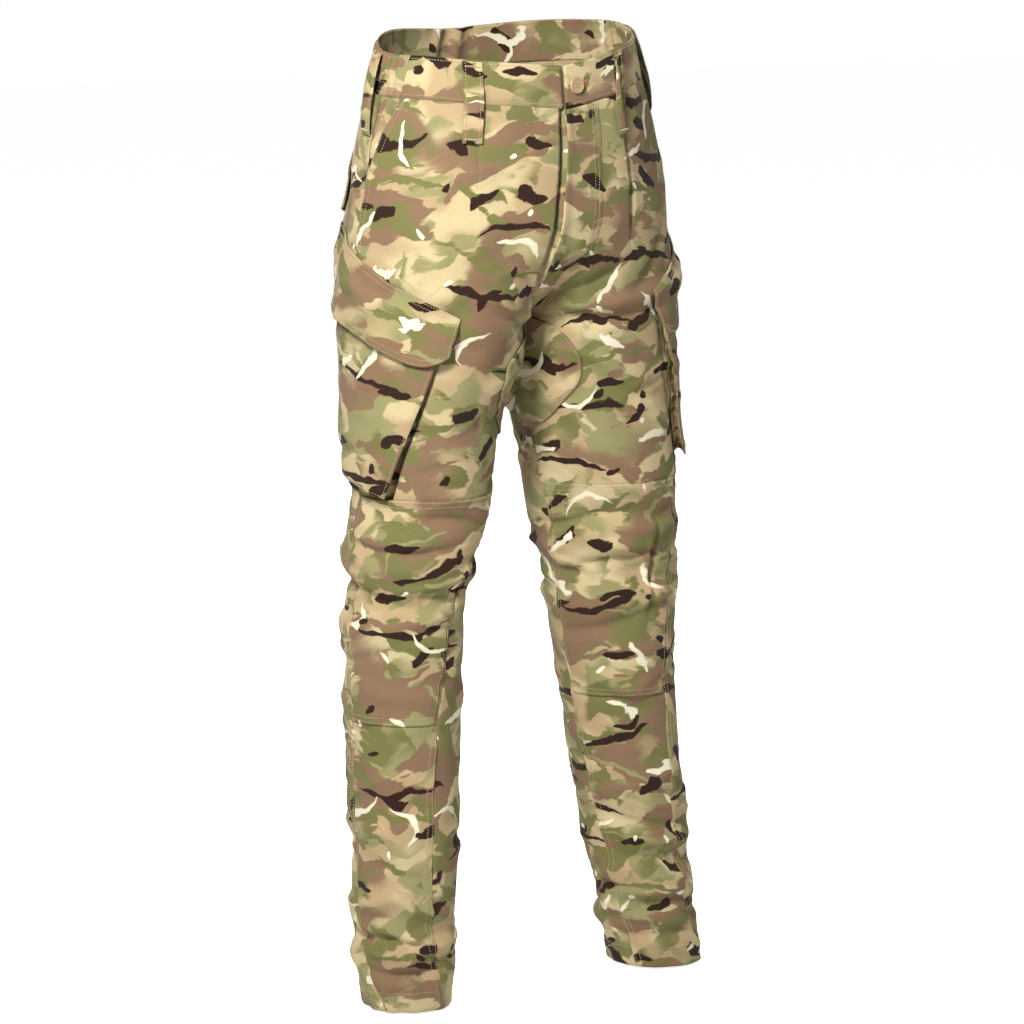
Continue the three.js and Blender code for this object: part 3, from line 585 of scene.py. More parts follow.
@dataclass
class Cloth:
    """Outside of the worn garment: the plain surface with its creases, pleats and puckers."""

    surface: TrouserSurface
    pleat_turn: dict[Half, float] = field(default_factory=lambda: {R: 0.61, L: 0.71})
    pleat_depth: dict[Half, float] = field(default_factory=lambda: {R: 2.6, L: 6.5})
    pleat_length: dict[Half, float] = field(default_factory=lambda: {R: 150.0, L: 175.0})
    pleat_spread: float = 34.0
    crease_reach: float = 130.0
    pucker_height: float = 0.5
    pucker_reach: float = 9.0
    crumple_seed: int = 11
    weave_seed: int = 5
    creases: dict[Half, tuple[Crease, ...]] = field(init=False)
    waves: Array = field(init=False)

    def __post_init__(self) -> None:
        """Adds the small creases and the slow unevenness, both from fixed seeds."""
        rng = np.random.default_rng(self.crumple_seed)
        self.creases = {}
        for half in Half:
            small = (zone.crease(rng) for zone in CRUMPLE_ZONES for _ in range(zone.count))
            self.creases[half] = (*(Crease(*row) for row in CREASES[half]), *small)
        rng = np.random.default_rng(self.weave_seed)
        count = 26
        length = rng.uniform(26, 85, count)
        angle = rng.uniform(0, np.pi, count)
        phase = rng.uniform(0, 2 * np.pi, count)
        size = 0.16 * (length / 55)
        self.waves = np.stack([np.cos(angle) / length, np.sin(angle) / length, phase, size])

    def pleat_fade(self, half: Half, drop: Array) -> Array:
        """Share of the pleat that is left at a drop."""
        return 1 - smooth(drop, BAND_HEIGHT, BAND_HEIGHT + self.pleat_length[half])

    def pleat_rise(self, half: Half, arc: Array, drop: Array) -> Array:
        """Height of the pleat's upper layer, dying away toward the centre front."""
        line = self.surface.arc(half, self.pleat_turn[half], drop)
        inside = np.maximum(arc - line, 0)
        rise = self.pleat_depth[half] * self.pleat_fade(half, drop)
        return rise * np.exp(-inside / self.pleat_spread)

    def height(self, half: Half, turn: Array, drop: Array, pleat: Array | None = None) -> Array:
        """Height of all folds over the plain surface.

        A crease is a bell across its bent line, narrower on one side where it is sharp, and fades
        toward both ends. The pleat, the puckers along the seams and slow waves are added.

        Args:
            half: Side of the garment.
            turn: Place round it.
            drop: Distance below the waist.
            pleat: Share of the pleat's upper layer, worked out from the place where it isn't given.

        Returns:
            Heights in millimetres.
        """
        turn, drop = pair(turn, drop)
        arc = self.surface.arc(half, turn, drop)
        around = self.surface.girth(half, drop)
        below = drop >= FORK_DROP
        total = np.zeros(turn.shape)
        for crease in self.creases[half]:
            near = np.abs(drop - crease.drop) < self.crease_reach
            if not near.any():
                continue
            x = arc[near] - self.surface.arc(half, crease.turn, drop[near])
            girth = around[near]
            x = np.where(below[near], (x + girth / 2) % girth - girth / 2, x)
            y = drop[near] - crease.drop
            tilt = np.radians(crease.tilt)
            along = x * np.cos(tilt) + y * np.sin(tilt)
            across = -x * np.sin(tilt) + y * np.cos(tilt)
            across = across + crease.bend * along**2 / crease.length
            narrow = 1 - 0.55 * crease.sharp
            width = crease.width * np.where(across > 0, 1 + 0.3 * crease.sharp, narrow)
            bell = np.exp(-((across / width) ** 2)) * np.exp(-((along / crease.length) ** 4))
            total[near] += crease.height * bell
        if pleat is None:
            line = self.surface.arc(half, self.pleat_turn[half], drop)
            pleat = (arc > line).astype(float)
        total += pleat * self.pleat_rise(half, arc, drop)
        total += self._puckers(half, arc, drop, around)
        return total + self._unevenness(half, arc, drop)

    def _puckers(self, half: Half, arc: Array, drop: Array, around: Array) -> Array:
        """Small waves along the leg seams, where the sewn cloth draws up."""
        total = np.zeros(arc.shape)
        for column, pitch in (("side", 14.0), ("inner", 12.0)):
            seam = self.surface.arc(half, SEAMS[half].read(column, drop), drop)
            x = arc - seam
            x = np.where(drop >= FORK_DROP, (x + around / 2) % around - around / 2, x)
            beat = np.sin(2 * np.pi * (drop / pitch + 0.7 * np.sin(drop / 41)))
            swell = 0.5 + 0.5 * np.sin(drop / 63 + half.value)
            start = smooth(drop, 190, 240)
            near = np.exp(-((x / self.pucker_reach) ** 2))
            total += self.pucker_height * start * swell * beat * near
        return total

    def _unevenness(self, half: Half, arc: Array, drop: Array) -> Array:
        """Slow waves of many directions, a sum of sines with fixed phases."""
        kx, ky, phase, size = (row[:, None] for row in self.waves)
        x, y = arc.ravel()[None, :] + 17 * half.value, drop.ravel()[None, :]
        bent = 6 * np.sin(x / 60) + 5 * np.sin(y / 47)
        total = (size * np.sin(2 * np.pi * (kx * (x + bent) + ky * (y - bent)) + phase)).sum(0)
        to_centre = self.surface.girth(half, drop) / 2 - np.abs(arc)
        joined = np.where(drop < FORK_DROP, smooth(to_centre, 0, 25), 1.0)
        return total.reshape(arc.shape) * smooth(drop, 20, 80) * joined

    def at(
        self, half: Half, turn: Array, drop: Array, lift: Array = 0.0, pleat: Array | None = None
    ) -> Array:
        """Point at a height over the creased outside.

        Args:
            half: Side of the garment.
            turn: Place round it.
            drop: Distance below the waist.
            lift: Height over the garment's outside.
            pleat: Share of the pleat's upper layer.

        Returns:
            Points in millimetres.
        """
        turn, drop = pair(turn, drop)
        rise = self.height(half, turn, drop, pleat) + lift
        outward = self.surface.outward(half, turn, drop)
        return self.surface.plain(half, turn, drop) + outward * rise[..., None]

    def at_arc(self, half: Half, arc: Array, drop: Array, lift: Array = 0.0) -> Array:
        """Point at a distance round the garment from the outer side line."""
        arc, drop = pair(arc, drop)
        around = self.surface.girth(half, drop)
        over = (arc > around / 2) & (drop >= FORK_DROP)
        turn = self.surface.turn_at(half, np.where(over, arc - around, arc), drop)
        turn = np.where(drop < FORK_DROP, np.clip(turn, -1, 1), np.where(over, turn + 2, turn))
        return self.at(half, turn, drop, lift)


@dataclass(frozen=True)
class Cut:
    """Where a piece was cut from the printed cloth: the place and the slant of its grain."""

    across: float
    down: float
    slant: float = 0.0

    def place(self, arc: Array, drop: Array) -> Array:
        """Place on the printed cloth in metres, turned by the slant.

        Args:
            arc: Distance across the piece.
            drop: Distance down it.

        Returns:
            Pairs with a last axis of two.
        """
        slant = np.radians(self.slant)
        x = arc * np.cos(slant) - drop * np.sin(slant)
        y = arc * np.sin(slant) + drop * np.cos(slant)
        return np.stack([x * MM + self.across, -y * MM + self.down], -1)


PANEL_CUTS = {
    "front_right": Cut(0.13, 0.52, 3),
    "front_left": Cut(1.71, 0.87, -4),
    "back_right": Cut(3.37, 1.93, 2),
    "back_left": Cut(4.81, 0.21, -3),
}


def grid_quads(rows: int, columns: int, start: int = 0) -> Array:
    """Corner numbers of a grid's faces, row by row."""
    i, j = np.meshgrid(np.arange(rows - 1), np.arange(columns - 1), indexing="ij")
    a = (start + i * columns + j).ravel()
    return np.stack([a, a + columns, a + columns + 1, a + 1], -1)


def rim_loop(rows: int, columns: int) -> Array:
    """Corner numbers round a grid's border, along its top row first."""
    grid = np.arange(rows * columns).reshape(rows, columns)
    return np.concatenate([grid[0, :-1], grid[:-1, -1], grid[-1, :0:-1], grid[:0:-1, 0]])


def outward_facing(points: Array, quads: Array) -> Array:
    """The faces of a closed shell, turned round where their volume comes out negative."""
    a, b, c, d = (points[quads[:, k]] for k in range(4))
    volume = (a * np.cross(b, c)).sum() + (a * np.cross(c, d)).sum()
    return quads[:, ::-1] if volume < 0 else quads


def put_mesh(
    name: str, points: Array, corners: Array, places: Array | None = None
) -> bpy.types.Object:
    """Mesh object at the origin, from points in millimetres.

    Args:
        name: Name of the object and its mesh.
        points: Corners in millimetres.
        corners: Four corner numbers for each face; a triangle repeats its last one.
        places: Each corner's place on the printed cloth, kept as the UV map "print".

    Returns:
        The object, linked to the scene.
    """
    three = corners[:, 2] == corners[:, 3]
    keep = np.ones(corners.shape, bool)
    keep[three, 3] = False
    loops = corners[keep]
    starts = np.concatenate([[0], np.cumsum(np.where(three, 3, 4))[:-1]])
    mesh = bpy.data.meshes.new(name)
    mesh.vertices.add(len(points))
    mesh.vertices.foreach_set("co", (points * MM).astype(np.float32).ravel())
    mesh.loops.add(len(loops))
    mesh.loops.foreach_set("vertex_index", loops.astype(np.int32))
    mesh.polygons.add(len(corners))
    mesh.polygons.foreach_set("loop_start", starts.astype(np.int32))
    mesh.polygons.foreach_set("use_smooth", np.ones(len(corners), bool))
    if places is not None:
        layer = mesh.uv_layers.new(name="print")
        layer.data.foreach_set("uv", places[loops].astype(np.float32).ravel())
    mesh.update()
    mesh.validate()
    piece = bpy.data.objects.new(name, mesh)
    bpy.context.scene.collection.objects.link(piece)
    return piece


@dataclass(frozen=True)
class Layer:
    """Cloth laid on the garment: a place and a height for shares across (s) and down (t)."""

    half: Half
    place: Callable[[Array, Array], tuple[Array, Array]]
    lift: Callable[[Array, Array], Array]
    thick: float
    shift: tuple[float, float] = (0.0, 0.0)

    def points(self, cloth: Cloth, s: Array, t: Array, extra: float = 0.0) -> Array:
        """Points of the layer's wrong side, or of a height over it.

        Args:
            cloth: Creased outside that it lies on.
            s: Shares across the layer.
            t: Shares down it.
            extra: Height over the wrong side.

        Returns:
            Points in millimetres.
        """
        arc, drop = self.place(s, t)
        lift = self.lift(s, t) + extra
        return cloth.at_arc(self.half, arc + self.shift[0], drop + self.shift[1], lift)


@dataclass
class Tailor:
    """Makes each cloth piece a closed shell and ties it to the frame."""

    cloth: Cloth
    finishes: dict[str, bpy.types.Material]
    rim: float = 0.35
    inside_shift: float = 0.41

    def shell(self, name: str, outer: Array, inner: Array, places: Array) -> bpy.types.Object:
        """Closed shell between two grids; its rim runs half way between them, a little out.

        Args:
            name: Name of the piece.
            outer: Grid of the right side of the cloth.
            inner: Grid of its wrong side.
            places: Place of each grid point on the printed cloth.

        Returns:
            The piece with its print.
        """
        rows, columns = outer.shape[:2]
        count = rows * columns
        loop = rim_loop(rows, columns)
        i, j = np.divmod(loop, columns)
        nearby = outer[np.clip(i, 1, rows - 2), np.clip(j, 1, columns - 2)]
        edge, back = outer.reshape(-1, 3)[loop], inner.reshape(-1, 3)[loop]
        thick = np.linalg.norm(edge - back, axis=-1, keepdims=True)
        middle = (edge + back) / 2 + unit(edge - nearby) * thick * self.rim
        points = np.concatenate([outer.reshape(-1, 3), inner.reshape(-1, 3), middle])
        following = np.roll(loop, -1)
        mid = 2 * count + np.arange(len(loop))
        mid_next = np.roll(mid, -1)
        quads = np.concatenate(
            [
                grid_quads(rows, columns),
                grid_quads(rows, columns, count)[:, ::-1],
                np.stack([loop, following, mid_next, mid], -1),
                np.stack([mid, mid_next, following + count, loop + count], -1),
            ]
        )
        flat = places.reshape(-1, 2)
        spots = np.concatenate([flat, flat + self.inside_shift, flat[loop]])
        return put_mesh(name, points, outward_facing(points, quads), spots)

    def sew(
        self,
        node: str,
        slot: str,
        outer: Array,
        inner: Array,
        places: Array,
        held: Held,
        rests_on: tuple[str, ...] = (),
    ) -> None:
        """Makes a piece, ties it to the frame and states the cut that it was made from.

        The cut's width and length are the longest row and column of the grid, and its area is the
        grid's own, because cloth keeps its area when it is folded.

        Args:
            node: CAD node that it stands for; the piece is named after it.
            slot: Material slot in the record.
            outer: Grid of the right side in millimetres.
            inner: Grid of the wrong side.
            places: Place of each grid point on the printed cloth.
            held: How the cloth is held.
            rests_on: Names of the pieces that it lies on; not used.
        """
        piece = self.shell(f"{node}_cloth", outer, inner, places)
        flat = tuple(
            float(np.linalg.norm(np.diff(outer, axis=axis), axis=-1).sum(axis).max() * MM)
            for axis in (1, 0)
        )
        down, across = outer[1:, :-1] - outer[:-1, :-1], outer[:-1, 1:] - outer[:-1, :-1]
        area = float(np.linalg.norm(np.cross(down, across), axis=-1).sum()) * MM * MM
        area = min(area, flat[0] * flat[1])
        piece.data.materials.append(self.finishes[slot])
        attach(piece, BODY)
        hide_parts(node)
        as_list(rests_on)
        log.info("%s: cut %.3f x %.3f m, %.4f m2, %s", piece.name, *flat, area, held.value)

    def piece(
        self,
        node: str,
        slot: str,
        half: Half,
        turn: Array,
        drop: Array,
        lift: Array,
        thick: float,
        cut: Cut,
        held: Held = Held.LAID,
        rests_on: tuple[str, ...] = (),
        pleat: Array | None = None,
    ) -> None:
        """Cloth piece on one half of the garment, from its places and the height of its wrong side.

        Args:
            node: CAD node that it stands for.
            slot: Material slot in the record.
            half: Side of the garment.
            turn: Grid of turns.
            drop: Grid of drops.
            lift: Height of the wrong side over the garment's outside.
            thick: Thickness of the shell.
            cut: Where it was cut from the cloth.
            held: How it is held.
            rests_on: Pieces that it lies on.
            pleat: Share of the pleat's upper layer.
        """
        turn, drop = pair(turn, drop)
        inner = self.cloth.at(half, turn, drop, np.broadcast_to(lift, turn.shape), pleat)
        outer = inner + self.cloth.surface.outward(half, turn, drop) * thick
        places = cut.place(self.cloth.surface.arc(half, turn, drop), drop)
        self.sew(node, slot, outer, inner, places, held, rests_on)

    def lay(
        self,
        node: str,
        slot: str,
        layer: Layer,
        grid: tuple[int, int],
        cut: Cut,
        held: Held,
        rests_on: tuple[str, ...],
    ) -> None:
        """Cloth piece from a layer.

        Args:
            node: CAD node that it stands for.
            slot: Material slot in the record.
            layer: Its places and heights.
            grid: Number of rows and columns.
            cut: Where it was cut from the cloth.
            held: How it is held.
            rests_on: Pieces that it lies on.
        """
        t, s = np.meshgrid(*(np.linspace(0, 1, count) for count in grid), indexing="ij")
        outer, inner = (layer.points(self.cloth, s, t, extra) for extra in (layer.thick, 0.0))
        self.sew(node, slot, outer, inner, cut.place(*layer.place(s, t)), held, rests_on)


def seam_shares(count: int) -> Array:
    """Even steps from 0 to 1 as a row."""
    return np.linspace(0, 1, count)[None, :]


def mouth_turn(half: Half, drop: Array) -> Array:
    """Outer edge of the front panel: the pocket's mouth above, the side seam below."""
    seam = side_turn(half, drop)
    mouth = POCKET_MOUTH.read("turn", drop)
    return np.maximum(seam, mix(mouth, seam, smooth(drop, POCKET_MOUTH_END - 30, POCKET_MOUTH_END)))


def side_turn(half: Half, drop: Array) -> Array:
    """Side seam between front and back panel."""
    return SEAMS[half].read("side", drop)


def inner_turn(half: Half, drop: Array) -> Array:
    """Inside leg seam, or the centre line above the fork."""
    return np.where(drop <= FORK_DROP, 1.0, SEAMS[half].read("inner", drop))


@dataclass
class LegPanels:
    """Front and back panel of each leg, from the waistband to the hem."""

    tailor: Tailor
    row_step: float = 3.0
    outer_columns: int = 60
    inner_columns: int = 40
    back_columns: int = 76
    under: float = 7.0
    mouth_rise: float = 2.2
    mouth_reach: float = 16.0
    hem_height: float = 24.0
    hem_wave: float = 1.5
    fell_height: float = 0.45
    fell_width: float = 9.0
    gather_height: float = 1.3
    groove_depth: float = 10.0
    groove_width: float = 2.2
    groove_offset: dict[Half, float] = field(default_factory=lambda: {R: 0.8, L: 0.6})
    valley_depth: dict[Half, float] = field(default_factory=lambda: {R: 1.5, L: 7.0})

    def drops(self) -> Array:
        """Rows of the panels as a column, with one on the fork."""
        top, fork = BAND_HEIGHT + 2 * SEAM_GAP, FORK_DROP
        above = np.linspace(top, fork, int((fork - top) / self.row_step) + 1)
        below = np.linspace(fork, HEM_DROP, int((HEM_DROP - fork) / self.row_step) + 1)
        return np.concatenate([above, below[1:]])[:, None]

    def gap(self, half: Half, turn: Array, drop: Array) -> Array:
        """Turn that half the seam's gap takes."""
        small = 0.01
        at = np.where(drop < FORK_DROP, np.clip(turn, small - 1, 1 - small), turn)
        surface = self.tailor.cloth.surface
        ends = surface.plain(half, at + small, drop) - surface.plain(half, at - small, drop)
        return SEAM_GAP / np.linalg.norm(ends, axis=-1) * small

    def pleat_line(self, half: Half, drop: Array) -> Array:
        """Turn of the pleat, which runs on down the middle of the leg."""
        seams = SEAMS[half]
        middle = (seams.read("side", drop) + seams.read("inner", drop)) / 2
        return mix(self.tailor.cloth.pleat_turn[half], middle, smooth(drop, 190, 340))

    def mouth_lift(self, from_edge: Array, drop: Array) -> Array:
        """Height of the pocket's mouth, which stands open, by the distance from its edge."""
        share = smooth(drop, 50, 90) * (1 - smooth(drop, 150, POCKET_MOUTH_END - 8))
        return self.mouth_rise * share * np.exp(-((from_edge / self.mouth_reach) ** 2))

    def fell(self, from_seam: Array) -> Array:
        """Height of a felled seam's doubled edge."""
        return self.fell_height * smooth(from_seam, self.fell_width + 1.4, self.fell_width)

    def hem(self, half: Half, arc: Array, drop: Array) -> Array:
        """Lift of the turned-up hem and of the waves that its stitching draws in."""
        fold = 0.5 * smooth(drop, HEM_DROP - self.hem_height - 1, HEM_DROP - self.hem_height + 1)
        beat = np.sin(arc / 4.3 + 1.6 * np.sin(arc / 31) + half.value)
        draw = self.hem_wave * smooth(drop, HEM_DROP - 52, HEM_DROP - 14)
        return fold + draw * (0.6 + 0.4 * np.sin(arc / 23)) * beat

    def grooves(self, half: Half, arc: Array, drop: Array) -> Array:
        """Depth of the cloth where it is drawn in: beside the pocket's bellows and the fly.

        Args:
            half: Side of the garment.
            arc: Distance forward of the outer side line.
            drop: Distance below the waist.

        Returns:
            Depths in millimetres.
        """
        surface = self.tailor.cloth.surface
        (top_arc, top), (low_arc, low) = CARGO_FACE["front_top"], CARGO_FACE["front_bottom"]
        by_arc, by_drop = CARGO_SHIFT[half]
        t = (drop - by_drop - top) / (low - top)
        line = mix(top_arc, low_arc, t) + by_arc + self.groove_offset[half]
        share = smooth(t, -0.15, 0.1) * (1 - smooth(t, 1.0, 1.06)) * (0.7 + 0.5 * t)
        width = self.groove_width * (0.8 + 0.7 * np.clip(t, 0, 1)) * (1.5 if half is L else 1.0)
        total = share * np.exp(-(((arc - line) / width) ** 2))
        if half is L:
            line = surface.arc(half, self.pleat_line(half, drop), drop) - 1.2
            share, width = smooth(drop, 62, 100) * (1 - smooth(drop, 150, 195)), 2.8
        else:
            line = surface.arc(half, 1.0, drop) - FLY_TABLE.read("edge", drop) - self.groove_width
            share, width = (1 - smooth(drop, 266, 280)) * 0.9, 1.3 * self.groove_width
        return self.groove_depth * (total + share * np.exp(-(((arc - line) / width) ** 2)))

    def front(self, half: Half) -> None:
        """Front panel, with its pleat folded over and the pocket's mouth standing open."""
        surface, cloth = self.tailor.cloth.surface, self.tailor.cloth
        drop = self.drops()
        edge = mouth_turn(half, drop)
        outer = surface.arc(half, edge + self.gap(half, edge, drop), drop)
        seam = inner_turn(half, drop)
        seam = seam - np.where(drop > FORK_DROP, self.gap(half, seam, drop), 0)
        inner = surface.arc(half, seam, drop)
        line = surface.arc(half, self.pleat_line(half, drop), drop)
        fade = cloth.pleat_fade(half, drop)
        under = line + self.under * fade - 1.2 * (1 - fade)
        low = mix(outer, under, seam_shares(self.outer_columns))
        nose = np.concatenate([line - 0.6 * fade, line - 0.8 * fade + 0.5 * (1 - fade)], 1)
        high = mix(line + 1.2, inner, seam_shares(self.inner_columns))
        arc = np.concatenate([low, nose, high], 1)
        pleat = np.zeros(arc.shape)
        pleat[:, self.outer_columns :] = 1
        pleat[:, self.outer_columns : self.outer_columns + 2] = (0.35, 0.75)
        fell = self.fell(inner - arc) * smooth(drop, 280, 300)
        lift = self.mouth_lift(arc - outer, drop) + fell + self.hem(half, arc, drop)
        valley = np.exp(-(((arc - line) / 6) ** 2)) * (pleat == 0) * fade
        lift = lift - self.valley_depth[half] * valley - self.grooves(half, arc, drop)
        turn = surface.turn_at(half, arc, drop)
        turn = np.where(drop <= FORK_DROP, np.minimum(turn, 1), turn)
        turn[:, -1:] = seam
        self.put(f"front_{half.word}", half, turn, drop, lift, pleat)

    def back(self, half: Half) -> None:
        """Back panel, from the side seam round the seat and the back of the leg."""
        surface = self.tailor.cloth.surface
        drop = self.drops()
        side = side_turn(half, drop)
        outer = side - self.gap(half, side, drop)
        seam = inner_turn(half, drop)
        inner = np.where(drop > FORK_DROP, seam - 2 + self.gap(half, seam, drop), -1.0)
        turn = mix(outer, inner, seam_shares(self.back_columns))
        arc = surface.arc(half, turn, drop)
        fell = self.fell(surface.arc(half, outer, drop) - arc)
        elastic = smooth(turn, -0.4, -0.3) * (1 - smooth(turn, 0.05, 0.15))
        beat = np.sin(arc / 2.9 + 1.2 * np.sin(arc / 11))
        gather = self.gather_height * elastic * beat * (1 - smooth(drop, BAND_HEIGHT, 96))
        self.put(f"back_{half.word}", half, turn, drop, fell + self.hem(half, arc, drop) + gather)

    def put(
        self,
        node: str,
        half: Half,
        turn: Array,
        drop: Array,
        lift: Array,
        pleat: Array | None = None,
    ) -> None:
        """Makes a panel whose right side lies at a height over the garment's outside.

        Args:
            node: CAD node that it stands for.
            half: Side of the garment.
            turn: Grid of turns.
            drop: Rows as a column.
            lift: Height of the right side.
            pleat: Share of the pleat's upper layer.
        """
        cut, slot, lift = PANEL_CUTS[node], "outer_cloth", lift - CLOTH
        self.tailor.piece(node, slot, half, turn, drop, lift, CLOTH, cut, Held.HUNG, pleat=pleat)


@dataclass
class Waistband:
    """Doubled band: two fronts, and one back that elastic draws in at the sides."""

    tailor: Tailor
    rows: int = 22
    front_columns: int = 80
    back_columns: int = 190
    lap_lift: float = 1.2
    elastic_from: float = -0.36
    elastic_to: float = 0.16
    elastic_rows: tuple[float, float] = (14.0, 30.0)
    wave: float = 2.3
    crown: float = 0.7

    def drops(self) -> Array:
        """Rows of the band as a column."""
        return np.linspace(0, BAND_HEIGHT, self.rows)[:, None]

    def roundness(self, drop: Array) -> Array:
        """The filled band is a little proud in its middle and falls off at the folded top."""
        t = drop / BAND_HEIGHT
        return self.crown * (np.sin(np.pi * t) ** 0.7 - 0.6 * np.exp(-((t / 0.06) ** 2)))

    def mouth(self, half: Half, drop: Array) -> Array:
        """Arc of the joint between front and back, over the front pocket's mouth."""
        return self.tailor.cloth.surface.arc(half, POCKET_MOUTH.read("turn", drop), drop)

    def front_lift(self, half: Half, arc: Array, drop: Array) -> Array:
        """Height of the front band; the left end laps over the right at the centre."""
        from_end = self.tailor.cloth.surface.arc(half, 1.0, drop) - arc
        ripple = 0.25 * np.sin(arc / 13 + 2 * np.sin(arc / 29)) * np.sin(drop / 9)
        if half is L:
            return self.roundness(drop) + ripple + self.lap_lift * (1 - smooth(from_end, 30, 60))
        return self.roundness(drop) + ripple - 0.6 * (1 - smooth(from_end, 10, 30))

    def front(self, half: Half) -> None:
        """Front band; the right end is drawn in under the left."""
        surface = self.tailor.cloth.surface
        drop = self.drops()
        centre = surface.arc(half, 1.0, drop)
        arc = mix(self.mouth(half, drop) + SEAM_GAP / 2, centre, seam_shares(self.front_columns))
        turn = np.minimum(surface.turn_at(half, arc, drop), 1)
        lift = self.front_lift(half, arc, drop) - BAND_CLOTH
        if half is R:
            lift = lift - 2.5 * np.exp(-(((centre - arc) / 2.5) ** 2))
        node, cut = f"waistband_front_{half.word}", Cut(2.23 + 0.31 * half.value, 1.37, 1)
        self.tailor.piece(node, "band_cloth", half, turn, drop, lift, BAND_CLOTH, cut, Held.FOLDED)

    def crumple(self, half: Half, arc: Array, drop: Array) -> Array:
        """Slow unevenness of the back band, and the upright folds at its middle."""
        away = np.abs(arc + self.tailor.cloth.surface.girth(half, drop) / 2) * half.value
        slow = 0.6 * np.sin(arc / 17 + 1.7 * np.sin(arc / 41)) * np.sin(drop / 12 + arc / 50)
        slow = slow * smooth(np.abs(away), 0, 12)
        lean = away + 0.12 * (drop - 20)
        folds = ((3.4, 3, 5.5), (-4.2, -9, 5), (-3.4, 15, 5), (2.0, -24, 7))
        total = sum(height * np.exp(-(((lean + by) / width) ** 2)) for height, by, width in folds)
        return slow + total * (1 - 0.6 * drop / BAND_HEIGHT)

    def gathers(self, turn: Array, drop: Array, arc: Array) -> Array:
        """Uneven upright waves over the elastic, pinched along its rows of stitching."""
        zone = smooth(turn, self.elastic_from, self.elastic_from + 0.07)
        zone = zone * (1 - smooth(turn, self.elastic_to - 0.07, self.elastic_to))
        beat = np.sin(arc / 1.75 + 1.5 * np.sin(arc / 9) + 0.5 * np.sin(drop / 7))
        pinch = 1 - 0.45 * sum(np.exp(-(((drop - row) / 2) ** 2)) for row in self.elastic_rows)
        return self.wave * zone * pinch * (beat - 0.7) * 0.6

    def back_lift(self, half: Half, turn: Array, arc: Array, drop: Array) -> Array:
        """Height of the back band."""
        return self.roundness(drop) + self.gathers(turn, drop, arc) + self.crumple(half, arc, drop)

    def back(self) -> None:
        """Band from one pocket's mouth round the back to the other's."""
        surface, cloth = self.tailor.cloth.surface, self.tailor.cloth
        drop = self.drops()
        halves = []
        for half in Half:
            centre = surface.arc(half, -1.0, drop)
            arc = mix(self.mouth(half, drop) - 0.5, centre, seam_shares(self.back_columns // 2))
            turn = np.maximum(surface.turn_at(half, arc, drop), -1)
            inner = cloth.at(half, turn, drop, self.back_lift(half, turn, arc, drop) - BAND_CLOTH)
            outer = inner + surface.outward(half, turn, drop) * BAND_CLOTH
            for layer in (outer, inner):
                layer[:, -1, 0] = BODY_SECTIONS.read("sway", drop[:, 0])
            halves.append((outer, inner, (centre - arc) * -half.value))
        outer, inner, x = (np.concatenate([a, b[:, -2::-1]], 1) for a, b in zip(*halves))
        places = Cut(0.7, 2.6, -1).place(x, np.broadcast_to(drop, x.shape))
        self.tailor.sew("waistband_back", "band_cloth", outer, inner, places, Held.GATHERED)


@dataclass
class FrontPockets:
    """Cloth that shows behind the slanted mouth of each front pocket."""

    tailor: Tailor
    end: float = 150.0
    sunk: float = 0.6

    def build(self, half: Half) -> None:
        """Side of the pocket, running a little way in under the mouth."""
        surface = self.tailor.cloth.surface
        drop = np.linspace(BAND_HEIGHT + 2 * SEAM_GAP, self.end, 40)[:, None]
        side = surface.arc(half, side_turn(half, drop), drop) + SEAM_GAP
        mouth = surface.arc(half, mouth_turn(half, drop), drop)
        arc = mix(side, np.maximum(mouth - 0.4, side + 1.5), seam_shares(16))
        turn, lift = surface.turn_at(half, arc, drop), -CLOTH - self.sunk
        node, cut = f"pocket_side_{half.word}", Cut(2.9 + 0.4 * half.value, 3.1, 8)
        self.tailor.piece(node, "outer_cloth", half, turn, drop, lift, CLOTH, cut)


